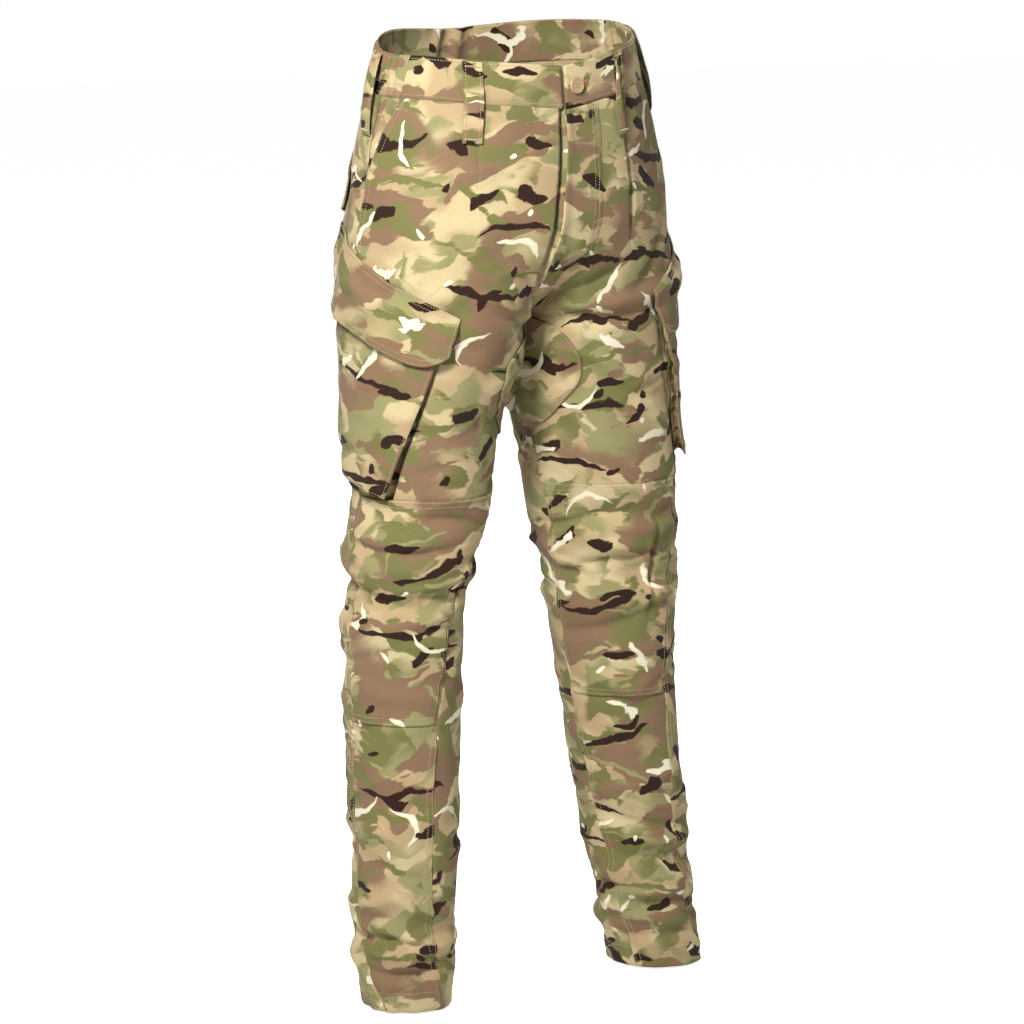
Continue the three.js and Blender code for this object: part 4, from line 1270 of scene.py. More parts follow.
@dataclass
class FlyFront:
    """Placket over the fly and the button that closes the band."""

    tailor: Tailor
    button_finish: bpy.types.Material
    rise: float = 3.2
    button_radius: float = 9.0
    button_thick: float = 3.2
    button_from_centre: float = 13.0
    button_drop: float = 23.0
    button_lift: float = 2.0
    hole_offset: float = 1.5

    def at_centre(self, from_centre: Array, drop: Array, lift: Array) -> Array:
        """Point near the centre front, by its distance to the wearer's left of the centre line.

        Args:
            from_centre: Signed distances.
            drop: Distances below the waist.
            lift: Heights over the garment's outside.

        Returns:
            Points in millimetres.
        """
        cloth, surface = self.tailor.cloth, self.tailor.cloth.surface
        from_centre, drop, lift = np.broadcast_arrays(from_centre, drop, lift)
        total = np.zeros(from_centre.shape + (3,))
        for half in Half:
            here = from_centre < 0 if half is R else from_centre >= 0
            arc = surface.arc(half, 1.0, drop) - np.abs(from_centre)
            turn = np.minimum(surface.turn_at(half, arc, drop), 1)
            out = surface.outward(half, turn, drop).copy()
            out[..., 0] *= np.clip(np.abs(from_centre) / 14, 0, 1)
            rise = cloth.height(half, turn, drop) + lift
            points = surface.plain(half, turn, drop) + unit(out) * rise[..., None]
            total = np.where(here[..., None], points, total)
        return total

    def thick(self, s: Array) -> Array:
        """Thickness of the placket, thinner toward its left edge."""
        return CLOTH * (1 - 0.75 * smooth(s, 0.75, 1.0))

    def height(self, proud: Array, s: Array, drop: Array) -> Array:
        """Height of the placket's right side, which lies down at its left edge and at its end."""
        proud = proud * (1 - 0.8 * smooth(s, 0.72, 1.0))
        return proud - 0.9 * smooth(drop, 232, 244) + self.thick(s)

    def placket(self) -> None:
        """Placket, its right edge standing proud and its left edge lying down on the panel."""
        drop = np.linspace(46, 244, 90)[:, None]
        edge, width = FLY_TABLE.read("edge", drop), FLY_TABLE.read("width", drop)
        s = seam_shares(34)
        from_centre = mix(-edge, width - edge, s)
        proud = 0.5 + self.rise * np.exp(-((s / 0.17) ** 2)) * (1 - smooth(drop, 215, 244))
        lift = self.height(proud, s, drop)
        outer = self.at_centre(from_centre, drop, lift)
        inner = self.at_centre(from_centre, drop, lift - self.thick(s) - 0.1)
        arc = self.tailor.cloth.surface.arc(L, 1.0, drop) - from_centre
        places = PANEL_CUTS["front_left"].place(arc, np.broadcast_to(drop, arc.shape))
        on = ("front_left_cloth", "front_right_cloth")
        self.tailor.sew("fly_placket", "outer_cloth", outer, inner, places, Held.LAID, on)

    def button_seat(self) -> tuple[Array, Array, Array, Array]:
        """Middle of the button's back, and its sideways, upward and outward directions."""
        place = np.full(1, self.button_from_centre)
        seat = self.at_centre(place, self.button_drop, self.button_lift)[0]
        axis = unit(self.at_centre(place, self.button_drop, self.button_lift + 1)[0] - seat)
        side = unit(np.cross([0, 0, 1.0], axis))
        return seat, side, np.cross(axis, side), axis

    def button(self) -> None:
        """Flat button with a raised rim and four holes, turned about its axis.

        The height over its back is read from the radius, with a pit at each hole.
        """
        edge = self.button_radius
        r = np.linspace(0, 1, 34)[:, None] * edge
        angle = np.linspace(0, 2 * np.pi, 97)[None, :-1]
        x, y = r * np.cos(angle), r * np.sin(angle)
        rim = np.exp(-((r - edge + 1.5) ** 2)) * 0.7
        front = self.button_thick - 0.9 + rim - 1.4 * smooth(r, edge - 0.9, edge)
        for hole in np.array([(-1, -1), (-1, 1), (1, -1), (1, 1)]) * self.hole_offset:
            front = front - 1.6 * (1 - smooth(np.hypot(x - hole[0], y - hole[1]), 0.55, 1.0))
        rear = np.broadcast_to(0.54 * smooth(r, edge - 0.8, edge), x.shape)
        seat, side, up, axis = self.button_seat()
        spread = seat + x[..., None] * side + y[..., None] * up
        faces = [(spread + height[..., None] * axis).reshape(-1, 3) for height in (front, rear)]
        count = x.size
        number = np.arange(count).reshape(x.shape)
        number = np.concatenate([number, number[:, :1]], 1)
        cells = (number[:-1, :-1], number[1:, :-1], number[1:, 1:], number[:-1, 1:])
        face = np.stack([corner.ravel() for corner in cells], -1)
        near, far = number[-1][:-1], number[-1][1:]
        join = np.stack([near, near + count, far + count, far], -1)
        quads = np.concatenate([face, face[:, ::-1] + count, join])
        points = np.concatenate(faces)
        piece = put_mesh("waist_button_face", points, outward_facing(points, quads))
        piece.data.materials.append(self.button_finish)
        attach(piece, BODY)
        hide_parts("waist_button")
        log.info("%s: %.0f mm across", piece.name, 2 * self.button_radius)


@dataclass
class BeltLoops:
    """Seven strips sewn down at both ends, standing off the band between them."""

    tailor: Tailor
    width: float = 20.0
    top: float = 1.5
    bottom: float = 86.0
    thick: float = 1.5
    places: tuple[tuple[str, Half, float, float, float], ...] = (
        ("belt_loop_front_right", R, 0.552, 0.577, 3.0),
        ("belt_loop_side_right", R, -0.09, -0.05, 7.0),
        ("belt_loop_back_right", R, -0.6, -0.6, 3.4),
        ("belt_loop_centre_back", R, -1.0, -1.0, 3.4),
        ("belt_loop_back_left", L, -0.6, -0.6, 3.4),
        ("belt_loop_side_left", L, 0.1, 0.1, 7.0),
        ("belt_loop_front_left", L, 0.66, 0.72, 3.0),
    )

    def middle(self, half: Half, turns: tuple[float, float], drop: Array) -> Array:
        """Arc of the loop's middle line, straight between its two ends."""
        arc = self.tailor.cloth.surface.arc
        start, end = (arc(half, turn, at) for turn, at in zip(turns, (self.top, self.bottom)))
        return mix(start, end, (drop - self.top) / (self.bottom - self.top))

    def lift(self, t: Array, s: Array, stand_off: float) -> Array:
        """Height over the band: an arch along the strip with its edges turned down a little."""
        arch = np.sin(np.pi * np.clip(t, 0, 1)) ** 0.6
        fold = 0.5 * (np.exp(-((t / 0.05) ** 2)) + np.exp(-(((1 - t) / 0.05) ** 2)))
        return 0.9 + stand_off * arch + 0.35 * (1 - s * s) + fold

    def build(
        self, name: str, half: Half, top_turn: float, low_turn: float, stand_off: float
    ) -> None:
        """One belt loop; the loop at the centre back is joined from both halves.

        Args:
            name: CAD node.
            half: Side of the garment.
            top_turn: Place of its top.
            low_turn: Place of its bottom.
            stand_off: Height of the arch.
        """
        at_arc, surface = self.tailor.cloth.at_arc, self.tailor.cloth.surface
        t, s = np.meshgrid(np.linspace(0, 1, 34), np.linspace(-1, 1, 11), indexing="ij")
        drop, reach = mix(self.top, self.bottom, t), s * self.width / 2
        layers = []
        for extra in (self.thick, 0.0):
            lift = self.lift(t, s, stand_off) + extra
            if top_turn > -1:
                arc = self.middle(half, (top_turn, low_turn), drop) + reach
                layers.append(at_arc(half, arc, drop, lift))
                continue
            arcs = ((part, surface.arc(part, -1.0, drop) + np.abs(reach)) for part in Half)
            points = np.where(s[..., None] < 0, *(at_arc(*each, drop, lift) for each in arcs))
            points[:, 5, 0] = BODY_SECTIONS.read("sway", drop[:, 5])
            layers.append(points)
        cut = Cut(0.9 + top_turn, 5.2 + 0.37 * half.value)
        places = cut.place(reach, t * (self.bottom - self.top))
        self.tailor.sew(name, "band_cloth", *layers, places, Held.FOLDED)


def in_outline(corners: Corners, s: Array, t: Array) -> Pair:
    """Arc and drop inside a four cornered outline.

    Args:
        corners: Arc and drop of back_top, front_top, front_bottom and back_bottom.
        s: Share from back to front.
        t: Share from top to bottom.

    Returns:
        The arcs and the drops.
    """
    found = []
    for k in (0, 1):
        top = mix(corners["back_top"][k], corners["front_top"][k], s)
        low = mix(corners["back_bottom"][k], corners["front_bottom"][k], s)
        found.append(mix(top, low, t))
    return found[0], found[1]


@dataclass
class CargoPocket:
    """Bellows pocket on the thigh: face, folded bellows and pointed flap."""

    tailor: Tailor
    flap_point: float = 18.0
    flap_thick: float = 1.6
    bulge: float = 4.5
    front_gap: dict[Half, float] = field(default_factory=lambda: {R: 4.5, L: 8.0})
    edge_points: int = 60
    face_width: float = 165.0
    face_height: float = 180.0
    bellows_wall: float = 0.7
    bellows_reach: tuple[float, ...] = (1.0, 6.0, 11.0, 14.0, 15.0, 14.5, 12.0, 9.0, 6.0)
    bellows_level: tuple[float, ...] = (0.97, 0.86, 0.72, 0.62, 0.5, 0.38, 0.28, 0.14, 0.04)

    def bulging(self, arc: Array, drop: Array) -> Array:
        """Height that the empty bag stands out in its middle: a bell over the pocket."""
        centre = -10 + (380 - drop) * 0.35
        return self.bulge * np.exp(-(((arc - centre) / 62) ** 2) - (((drop - 372) / 78) ** 2))

    def face_lift(self, half: Half, s: Array, t: Array) -> Array:
        """Height of the face's wrong side, more along the front edge, where the bellows open."""
        arc, drop = in_outline(CARGO_FACE, s, t)
        ripple = 0.5 * np.sin(arc / 15 + drop / 33) * np.sin(drop / 21) * np.sin(np.pi * s)
        front = self.front_gap[half] * smooth(s, 0.7, 1) * smooth(t, 0.02, 0.4) * (0.5 + 0.5 * t)
        return PATCH_LIFT + POCKET_ROOM + (self.bulging(arc, drop) + front) + ripple

    def flap_lift(self, s: Array, t: Array) -> Array:
        """Height of the flap's wrong side: down at its seam, clear of the face below it."""
        arc, drop = in_outline(CARGO_FLAP, s, t)
        over = PATCH_LIFT + POCKET_ROOM + CLOTH + 0.8 + self.bulging(arc, drop)
        flare = 4.0 * t * t * (1 - s) + 3.4 * t * t * s**3 + 1.6 * t * np.sin(np.pi * s * 1.6) ** 2
        return mix(PATCH_LIFT, over, smooth(t, 0, 0.42)) + flare

    def flap_place(self, s: Array, t: Array) -> Pair:
        """Arc and drop of the flap, its lower edge drawn out to a point near the front."""
        arc, drop = in_outline(CARGO_FLAP, s, t)
        return arc, drop + self.flap_point * t * np.sin(np.pi * s**3)

    def face(self, half: Half) -> Layer:
        """The pocket's face as a layer."""
        lift = partial(self.face_lift, half)
        return Layer(half, partial(in_outline, CARGO_FACE), lift, CLOTH, CARGO_SHIFT[half])

    def flap(self, half: Half) -> Layer:
        """The flap as a layer."""
        return Layer(half, self.flap_place, self.flap_lift, self.flap_thick, CARGO_SHIFT[half])

    def build(self, half: Half) -> None:
        """Face, bellows and flap of one thigh's pocket.

        Args:
            half: Side of the garment.
        """
        word, side = half.word, half.value
        on = (f"front_{word}_cloth", f"back_{word}_cloth")
        slot, lay = "pocket_cloth", self.tailor.lay
        cut = Cut(5.3 + 0.9 * side, 2.2, 14 * side)
        lay(f"cargo_pocket_{word}", slot, self.face(half), (80, 70), cut, Held.LAID, on)
        self.tailor.sew(f"cargo_gusset_{word}", slot, *self.bellows(half), Held.FOLDED, on)
        cut = Cut(6.1 + 0.7 * side, 4.1, 24 * side)
        lay(f"cargo_flap_{word}", slot, self.flap(half), (46, 84), cut, Held.FOLDED, on)

    def bellows(self, half: Half) -> tuple[Array, Array, Array]:
        """Bellows round the back, bottom and front edges, folded inward between panel and face.

        The section runs from the face's edge in to the fold and back out to the panel.

        Args:
            half: Side of the garment.

        Returns:
            Outer grid, inner grid and places on the printed cloth.
        """
        count = self.edge_points
        down, along = np.linspace(0.02, 1, count), np.linspace(0, 1, count)[1:]
        none, ones = np.zeros(count - 1), np.ones(count - 1)
        s = np.concatenate([[0], none, along, ones])[:, None]
        t = np.concatenate([down, ones, down[::-1][1:]])[:, None]
        toward_s = np.concatenate([[1], ones, none, -ones])[:, None]
        toward_t = np.concatenate([[0], none, -ones, none])[:, None]
        toward_t[count - 1] = -1
        toward_s[2 * count - 2] = -1
        reach, level = np.array(self.bellows_reach)[None, :], np.array(self.bellows_level)[None, :]
        s_in, t_in = s + toward_s * reach / self.face_width, t + toward_t * reach / self.face_height
        arc, drop = in_outline(CARGO_FACE, s_in, t_in)
        top = self.face_lift(half, np.broadcast_to(s, arc.shape), np.broadcast_to(t, arc.shape))
        by_arc, by_drop = CARGO_SHIFT[half]
        lift = mix(0.3, top - 0.1, level)
        outer = self.tailor.cloth.at_arc(half, arc + by_arc, drop + by_drop, lift)
        across, along = (unit(np.gradient(outer, axis=axis)) for axis in (1, 0))
        inner = outer + np.cross(along, across) * self.bellows_wall
        round_edge = np.cumsum(np.full(arc.shape, 4.5), axis=0)
        cut = Cut(3.9, 3.3 + 0.3 * half.value, 0)
        return outer, inner, cut.place(np.broadcast_to(reach, arc.shape), round_edge)


@dataclass
class SeatPocket:
    """Bag and flap of the pocket on the right of the seat."""

    tailor: Tailor
    outer_arc: float = -86.0
    inner_arc: float = -216.0
    top: float = 134.0
    bottom: float = 285.0
    point: float = 10.0
    overhang_outer: float = 14.0
    overhang_inner: float = 4.0
    flap_top: float = 112.0
    flap_bottom: float = 166.0
    flap_point: float = 12.0
    flap_thick: float = 1.6

    def bag_place(self, s: Array, t: Array) -> Pair:
        """Arc and drop of the bag."""
        drop = mix(self.top, self.bottom, t) + self.point * t * np.sin(np.pi * s)
        return mix(self.outer_arc, self.inner_arc, s), drop

    def flap_place(self, s: Array, t: Array) -> Pair:
        """Arc and drop of the flap."""
        drop = mix(self.flap_top, self.flap_bottom, t) + self.flap_point * t * np.sin(np.pi * s)
        outer, inner = self.outer_arc + self.overhang_outer, self.inner_arc - self.overhang_inner
        return mix(outer, inner, s), drop

    def bag_lift(self, s: Array, t: Array) -> Array:
        """Height of the bag's wrong side, slack in its middle."""
        slack = np.sin(np.pi * s) * np.sin(np.pi * np.clip(t, 0, 1))
        return PATCH_LIFT + 0.4 * slack + 0.3 * np.sin(s * 13 + t * 5) * slack

    def flap_lift(self, s: Array, t: Array) -> Array:
        """Height of the flap's wrong side."""
        over = PATCH_LIFT + CLOTH + 0.9 + 0.5 * t * t + 0.4 * t * np.sin(9 * s)
        return mix(PATCH_LIFT, over, smooth(t, 0, 0.4))

    def bag(self) -> Layer:
        """The bag as a layer."""
        return Layer(R, self.bag_place, self.bag_lift, CLOTH)

    def flap(self) -> Layer:
        """The flap as a layer."""
        return Layer(R, self.flap_place, self.flap_lift, self.flap_thick)

    def build(self) -> None:
        """Bag and flap."""
        parts = (
            ("back_pocket_right", self.bag(), Cut(4.4, 4.9, -2), Held.LAID),
            ("back_pocket_flap_right", self.flap(), Cut(2.6, 5.6, 2), Held.FOLDED),
        )
        for node, layer, cut, held in parts:
            self.tailor.lay(node, "pocket_cloth", layer, (60, 56), cut, held, ("back_right_cloth",))


@dataclass
class Patches:
    """Second layers sewn over the knees and inside the thighs."""

    tailor: Tailor
    knee_top: float = 465.0
    knee_bottom: float = 705.0
    knee_inset: float = 0.04
    fork_top: float = 282.0
    fork_bottom: float = 404.0
    fork_bed: float = 0.2
    fork_edges: Table = Table(
        "drop front back",
        (
            (282, 42, 36),
            (293, 72, 62),
            (311, 88, 78),
            (325, 93, 84),
            (350, 84, 76),
            (375, 56, 52),
            (393, 32, 30),
            (404, 9, 9),
        ),
    )

    def knee_turn(self, half: Half, s: Array, drop: Array) -> Array:
        """Turn across the knee patch, from its outer to its inner edge."""
        outer, inner = mouth_turn(half, drop), inner_turn(half, drop)
        inset = self.knee_inset * (inner - outer)
        return mix(outer + inset, inner - inset, s)

    def fork_place(self, half: Half, s: Array, t: Array) -> Pair:
        """Arc and drop of the fork patch, from its front edge over the inner seam to its back."""
        drop = mix(self.fork_top, self.fork_bottom, t)
        seam = self.tailor.cloth.surface.arc(half, inner_turn(half, drop), drop)
        front, back = (self.fork_edges.read(edge, drop) for edge in ("front", "back"))
        return mix(seam - front, seam + back, s), drop

    def fork(self, half: Half) -> Layer:
        """The fork patch as a layer, its wrong side bedded a little into the panels."""
        lift = FORK_PATCH_LIFT - self.fork_bed
        return Layer(half, partial(self.fork_place, half), lambda s, t: lift, CLOTH + self.fork_bed)

    def build(self, half: Half) -> None:
        """Knee patch and fork patch of one leg.

        Args:
            half: Side of the garment.
        """
        drop = np.linspace(self.knee_top, self.knee_bottom, 96)[:, None]
        turn = self.knee_turn(half, seam_shares(64), drop)
        edge = np.minimum(drop - self.knee_top, self.knee_bottom - drop)
        lift = PATCH_LIFT + 0.5 * smooth(edge, 4, 16) * np.sin(turn * 21 + drop / 19) * 0.5
        front, slot = f"front_{half.word}", "patch_cloth"
        on = (f"{front}_cloth", f"back_{half.word}_cloth")
        node, cut = f"knee_patch_{half.word}", PANEL_CUTS[front]
        self.tailor.piece(node, slot, half, turn, drop, lift, CLOTH, cut, Held.LAID, on[:1])
        node, cut = f"fork_patch_{half.word}", Cut(7.3 + 0.8 * half.value, 0.4, -12)
        self.tailor.lay(node, slot, self.fork(half), (60, 60), cut, Held.LAID, on)


Line = Callable[[Array, float], Array]
Place = Callable[[Array], Pair]
Height = Callable[[Array, Array], Array]
Seam = Callable[[Half, Array], Array]
Spot = tuple[float, float]


@dataclass
class Topstitching:
    """Rows of stitches over all seams, each stitch a small faceted grain of thread."""

    finish: bpy.types.Material
    pitch: float = 3.3
    length: float = 2.5
    width: float = 0.62
    height: float = 0.42
    samples: int = 500
    rows: dict[str, list[Array]] = field(default_factory=dict)
    grain: tuple[tuple[float, float, float], ...] = (
        (-0.5, 0, 0.1),
        *((end, *at) for end in (-0.3, 0.3) for at in ((0.5, 0.2), (0, 1), (-0.5, 0.2), (0, -0.4))),
        (0.5, 0, 0.1),
    )
    grain_faces: tuple[tuple[int, int, int, int], ...] = (
        *((0, k % 4 + 1, k, k) for k in (1, 2, 3, 4)),
        *((k, k % 4 + 1, k % 4 + 5, k + 4) for k in (1, 2, 3, 4)),
        *((9, k + 4, k % 4 + 5, k % 4 + 5) for k in (1, 2, 3, 4)),
    )

    def row(self, group: str, line: Line, pitch: float = 0.0) -> None:
        """Lays one row of stitches, or a bar tack of stitches across the row.

        Args:
            group: Object that the stitches go into.
            line: Points of the row for shares from 0 to 1, at a height over the cloth.
            pitch: Distance between the stitches of a bar tack, or 0 for a plain row.
        """
        u = np.linspace(0, 1, self.samples)
        path = line(u, 0.0)
        along = np.concatenate([[0], np.cumsum(np.linalg.norm(np.diff(path, axis=0), axis=1))])
        count = max(int(along[-1] / (pitch or self.pitch)), 1)
        middles = (np.arange(count) + 0.5) * along[-1] / count
        share = np.interp(middles, along, u)
        step = self.length / 2 / max(along[-1], 1e-6)
        start, end = (line(np.clip(share + by, 0, 1), 0.0) for by in (-step, step))
        centre = line(share, 0.0)
        up = unit(line(share, 1.0) - centre)
        forward = unit(end - start)
        side = unit(np.cross(forward, up))
        if pitch:
            forward, side = side, -forward
        scaled = np.array(self.grain) * (self.length, self.width, self.height)
        axes = np.stack([forward, side, up], 1)
        points = centre[:, None, :] + np.einsum("gk,nkd->ngd", scaled, axes)
        self.rows.setdefault(group, []).append(points)

    def build(self) -> None:
        """Makes one object for each group of rows."""
        for group, parts in self.rows.items():
            points = np.concatenate(parts)
            count, size = points.shape[:2]
            shift = (np.arange(count) * size)[:, None, None]
            corners = (np.array(self.grain_faces)[None] + shift).reshape(-1, 4)
            piece = put_mesh(group, points.reshape(-1, 3), corners)
            piece.data.materials.append(self.finish)
            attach(piece, BODY)
            log.info("%s: %d stitches", group, count)


CARGO_FACE_ROWS = (
    ((0.016, 0.1), (0.016, 0.985)),
    ((0.016, 0.986), (0.985, 0.986)),
    ((0.985, 0.985), (0.985, 0.12)),
)
CARGO_FLAP_ROWS = (
    ((0.01, 0.02), (0.99, 0.02)),
    ((0.01, 0.09), (0.99, 0.09)),
    ((0.012, 0.02), (0.012, 0.97)),
    ((0.012, 0.97), (0.988, 0.97)),
    ((0.988, 0.97), (0.988, 0.02)),
    ((0.04, 0.89), (0.96, 0.89)),
)
SEAT_BAG_ROWS = (
    ((0.016, 0.3), (0.016, 0.985)),
    ((0.016, 0.985), (0.984, 0.985)),
    ((0.984, 0.985), (0.984, 0.3)),
)
SEAT_FLAP_ROWS = (
    ((0.015, 0.04), (0.985, 0.04)),
    ((0.015, 0.04), (0.015, 0.96)),
    ((0.015, 0.96), (0.985, 0.96)),
    ((0.985, 0.96), (0.985, 0.04)),
)
BAR_TACK = 0.8
LOOP_ROWS = (
    ((-0.72, 0), (-0.72, 1), 0.0),
    ((0.72, 0), (0.72, 1), 0.0),
    ((-0.8, 0.055), (0.8, 0.055), BAR_TACK),
    ((-0.8, 0.95), (0.8, 0.95), BAR_TACK),
)


@dataclass
class SeamPlan:
    """Rows of stitching over every seam, edge and pocket of the trousers."""

    cloth: Cloth
    thread: Topstitching
    panels: LegPanels
    band: Waistband
    fly: FlyFront
    cargo: CargoPocket
    seat: SeatPocket
    patches: Patches
    loops: BeltLoops
    twin: tuple[float, float] = (1.8, 7.6)
    thread_lift: float = 0.1
    knee_rows: tuple[float, float] = (2.0, 7.5)

    def follow(
        self, group: str, half: Half, place: Place, lift: Height, pitch: float = 0.0
    ) -> None:
        """Row on the garment's outside.

        Args:
            group: Object that the stitches go into.
            half: Side of the garment.
            place: Arc and drop for each share of the row.
            lift: Height for each arc and drop.
            pitch: Distance between the stitches of a bar tack.
        """

        def line(u: Array, extra: float) -> Array:
            """Points of the row."""
            arc, drop = pair(*place(u))
            return self.cloth.at_arc(half, arc, drop, lift(arc, drop) + self.thread_lift + extra)

        self.thread.row(group, line, pitch)

    def edges(self, group: str, layer: Layer, rows: tuple[tuple[Spot, Spot], ...]) -> None:
        """Straight rows on a layer.

        Args:
            group: Object that the stitches go into.
            layer: Layer that they are sewn through.
            rows: For each row, the shares across and down at its two ends.
        """
        for start, end in rows:

            def line(u: Array, extra: float) -> Array:
                """Points of the row."""
                s, t = (mix(a, b, u) for a, b in zip(start, end))
                return layer.points(self.cloth, s, t, layer.thick + self.thread_lift + extra)

            self.thread.row(group, line)

    def beside(self, half: Half, turn_of: Seam, away: Array, drop: Array) -> Pair:
        """Arc and drop at a distance behind a seam line."""
        return self.cloth.surface.arc(half, turn_of(half, drop), drop) - away, drop

    def leg_seams(self, half: Half) -> None:
        """Twin rows down the side and inner seams, and one row round the hem."""
        group, hem = f"leg_stitches_{half.word}", partial(self.panels.hem, half)
        seams = ((side_turn, POCKET_MOUTH_END + 4), (inner_turn, FORK_DROP + 26))
        for away in self.twin:
            for turn_of, top in seams:
                self.follow(
                    group,
                    half,
                    lambda u: self.beside(half, turn_of, away, mix(top, HEM_DROP - 2, u)),
                    lambda arc, drop: self.panels.fell_height + hem(arc, drop),
                )
        low = HEM_DROP - 22.0
        girth = self.cloth.surface.girth(half, low)
        self.follow(group, half, lambda u: ((u - 0.5) * girth, low), hem)

    def pocket_mouth(self, half: Half) -> None:
        """Twin rows inside the slanted mouth, with a bar tack at each end."""
        group = f"front_stitches_{half.word}"

        def raised(arc: Array, drop: Array) -> Array:
            """Height of the open mouth's edge."""
            return self.panels.mouth_lift(arc - self.beside(half, mouth_turn, 0, drop)[0], drop)

        for away in self.twin:
            self.follow(
                group, half, lambda u: self.beside(half, mouth_turn, -away, mix(47, 200, u)), raised
            )
        for low in (56.0, 198.0):
            self.follow(
                group,
                half,
                lambda u: self.beside(half, mouth_turn, -0.5 - 8 * u, np.full(u.shape, low)),
                raised,
                BAR_TACK,
            )

    def centre_seams(self) -> None:
        """Twin rows beside the centre back seam and below the fly, and the fly's own rows."""
        surface, fly = self.cloth.surface, self.fly
        for away in self.twin:

            def back(u: Array) -> Pair:
                """Beside the centre back seam."""
                drop = mix(48, FORK_DROP - 4, u)
                return away - surface.girth(L, drop) / 2, drop

            def placket(u: Array, extra: float) -> Array:
                """Down the fly and round its lower end toward the centre."""
                drop = mix(46, 238, np.minimum(u / 0.9, 1))
                width, edge = FLY_TABLE.read("width", drop), FLY_TABLE.read("edge", drop)
                place = mix(width - edge - away - 3, -edge + 4, smooth(drop, 186, 240) ** 2)
                lift = fly.height(0.5, (place + edge) / width, drop)
                return fly.at_centre(place, drop, lift + 0.15 + extra)

            def front(u: Array) -> Pair:
                """Beside the centre front seam, below the fly."""
                return self.beside(L, inner_turn, away, mix(246, FORK_DROP - 6, u))

            self.follow("seat_stitches", L, back, lambda arc, drop: 0.0)
            self.follow("fly_stitches", L, front, lambda arc, drop: 0.0)
            self.thread.row("fly_stitches", placket)

    def waistband(self) -> None:
        """Rows along both edges of the band, and three more over the elastic."""
        surface, band = self.cloth.surface, self.band
        top, bottom = 2.6, 40.5
        for half in Half:
            group = f"waist_stitches_{half.word}"
            for low in (top, bottom):

                def front(u: Array) -> Pair:
                    """From the pocket's mouth to the centre front."""
                    drop = np.full(u.shape, low)
                    mouth, centre = band.mouth(half, drop), surface.arc(half, 1.0, drop)
                    return mix(mouth + 2, centre - 2.2, u), drop

                self.follow(group, half, front, partial(band.front_lift, half))
            for low in (top, *band.elastic_rows, bottom):

                def back(u: Array) -> Pair:
                    """From the pocket's mouth to the centre back, or over the elastic alone."""
                    drop = np.full(u.shape, low)
                    mouth = band.mouth(half, drop)
                    if low in band.elastic_rows:
                        elastic = surface.arc(half, band.elastic_from, drop)
                        return mix(mouth - 4, elastic, u), drop
                    return mix(mouth - 2, surface.arc(half, -1.0, drop) + 2, u), drop

                def gathered(arc: Array, drop: Array) -> Array:
                    """Height of the back band."""
                    return band.back_lift(half, surface.turn_at(half, arc, drop), arc, drop)

                self.follow(group, half, back, gathered)

    def cargo_pocket(self, half: Half) -> None:
        """Rows round the thigh pocket's face and flap."""
        group = f"cargo_stitches_{half.word}"
        self.edges(group, self.cargo.face(half), CARGO_FACE_ROWS)
        self.edges(group, self.cargo.flap(half), CARGO_FLAP_ROWS)

    def second_layers(self, half: Half) -> None:
        """Rows round the knee patch and the fork patch."""
        patches, surface = self.patches, self.cloth.surface
        group, near, far = f"patch_stitches_{half.word}", *self.knee_rows
        top, bottom = patches.knee_top, patches.knee_bottom
        levels = (top + near, top + far, bottom - near, bottom - far)
        rows = (
            *((0.01, 0.99, level, level) for level in levels),
            *((s, s, top + near, bottom - near) for s in (0.01, 0.99)),
        )
        for start, end, high, low in rows:

            def knee(u: Array) -> Pair:
                """Round the knee patch."""
                s, drop = mix(start, end, u), mix(high, low, u)
                return surface.arc(half, patches.knee_turn(half, s, drop), drop), drop

            self.follow(group, half, knee, lambda arc, drop: PATCH_LIFT + CLOTH)
        tall = patches.fork_bottom - patches.fork_top
        high, low = 2.5 / tall, 1 - 2 / tall
        fork_rows = (
            ((0.02, high), (0.98, high)),
            ((0.015, high), (0.015, low)),
            ((0.985, high), (0.985, low)),
            ((0.03, low), (0.97, low)),
        )
        self.edges(group, patches.fork(half), fork_rows)

    def belt_loops(self) -> None:
        """Two rows along each loop and a bar tack at both ends."""
        loops = self.loops
        for _, half, *turns, stand_off in loops.places:
            for start, end, pitch in LOOP_ROWS:

                def line(u: Array, extra: float) -> Array:
                    """Points of the row."""
                    s, t = (mix(a, b, u) for a, b in zip(start, end))
                    drop = mix(loops.top, loops.bottom, t)
                    lift = loops.lift(t, s, stand_off) + loops.thick + self.thread_lift + extra
                    arc = loops.middle(half, turns, drop) + s * loops.width / 2
                    return self.cloth.at_arc(half, arc, drop, lift)

                self.thread.row("loop_stitches", line, pitch)

    def sew(self) -> None:
        """Lays every row."""
        for half in Half:
            self.leg_seams(half)
            self.pocket_mouth(half)
            self.cargo_pocket(half)
            self.second_layers(half)
        self.centre_seams()
        self.waistband()
        self.edges("seat_stitches", self.seat.bag(), SEAT_BAG_ROWS)
        self.edges("seat_stitches", self.seat.flap(), SEAT_FLAP_ROWS)
        self.belt_loops()
        self.thread.build()


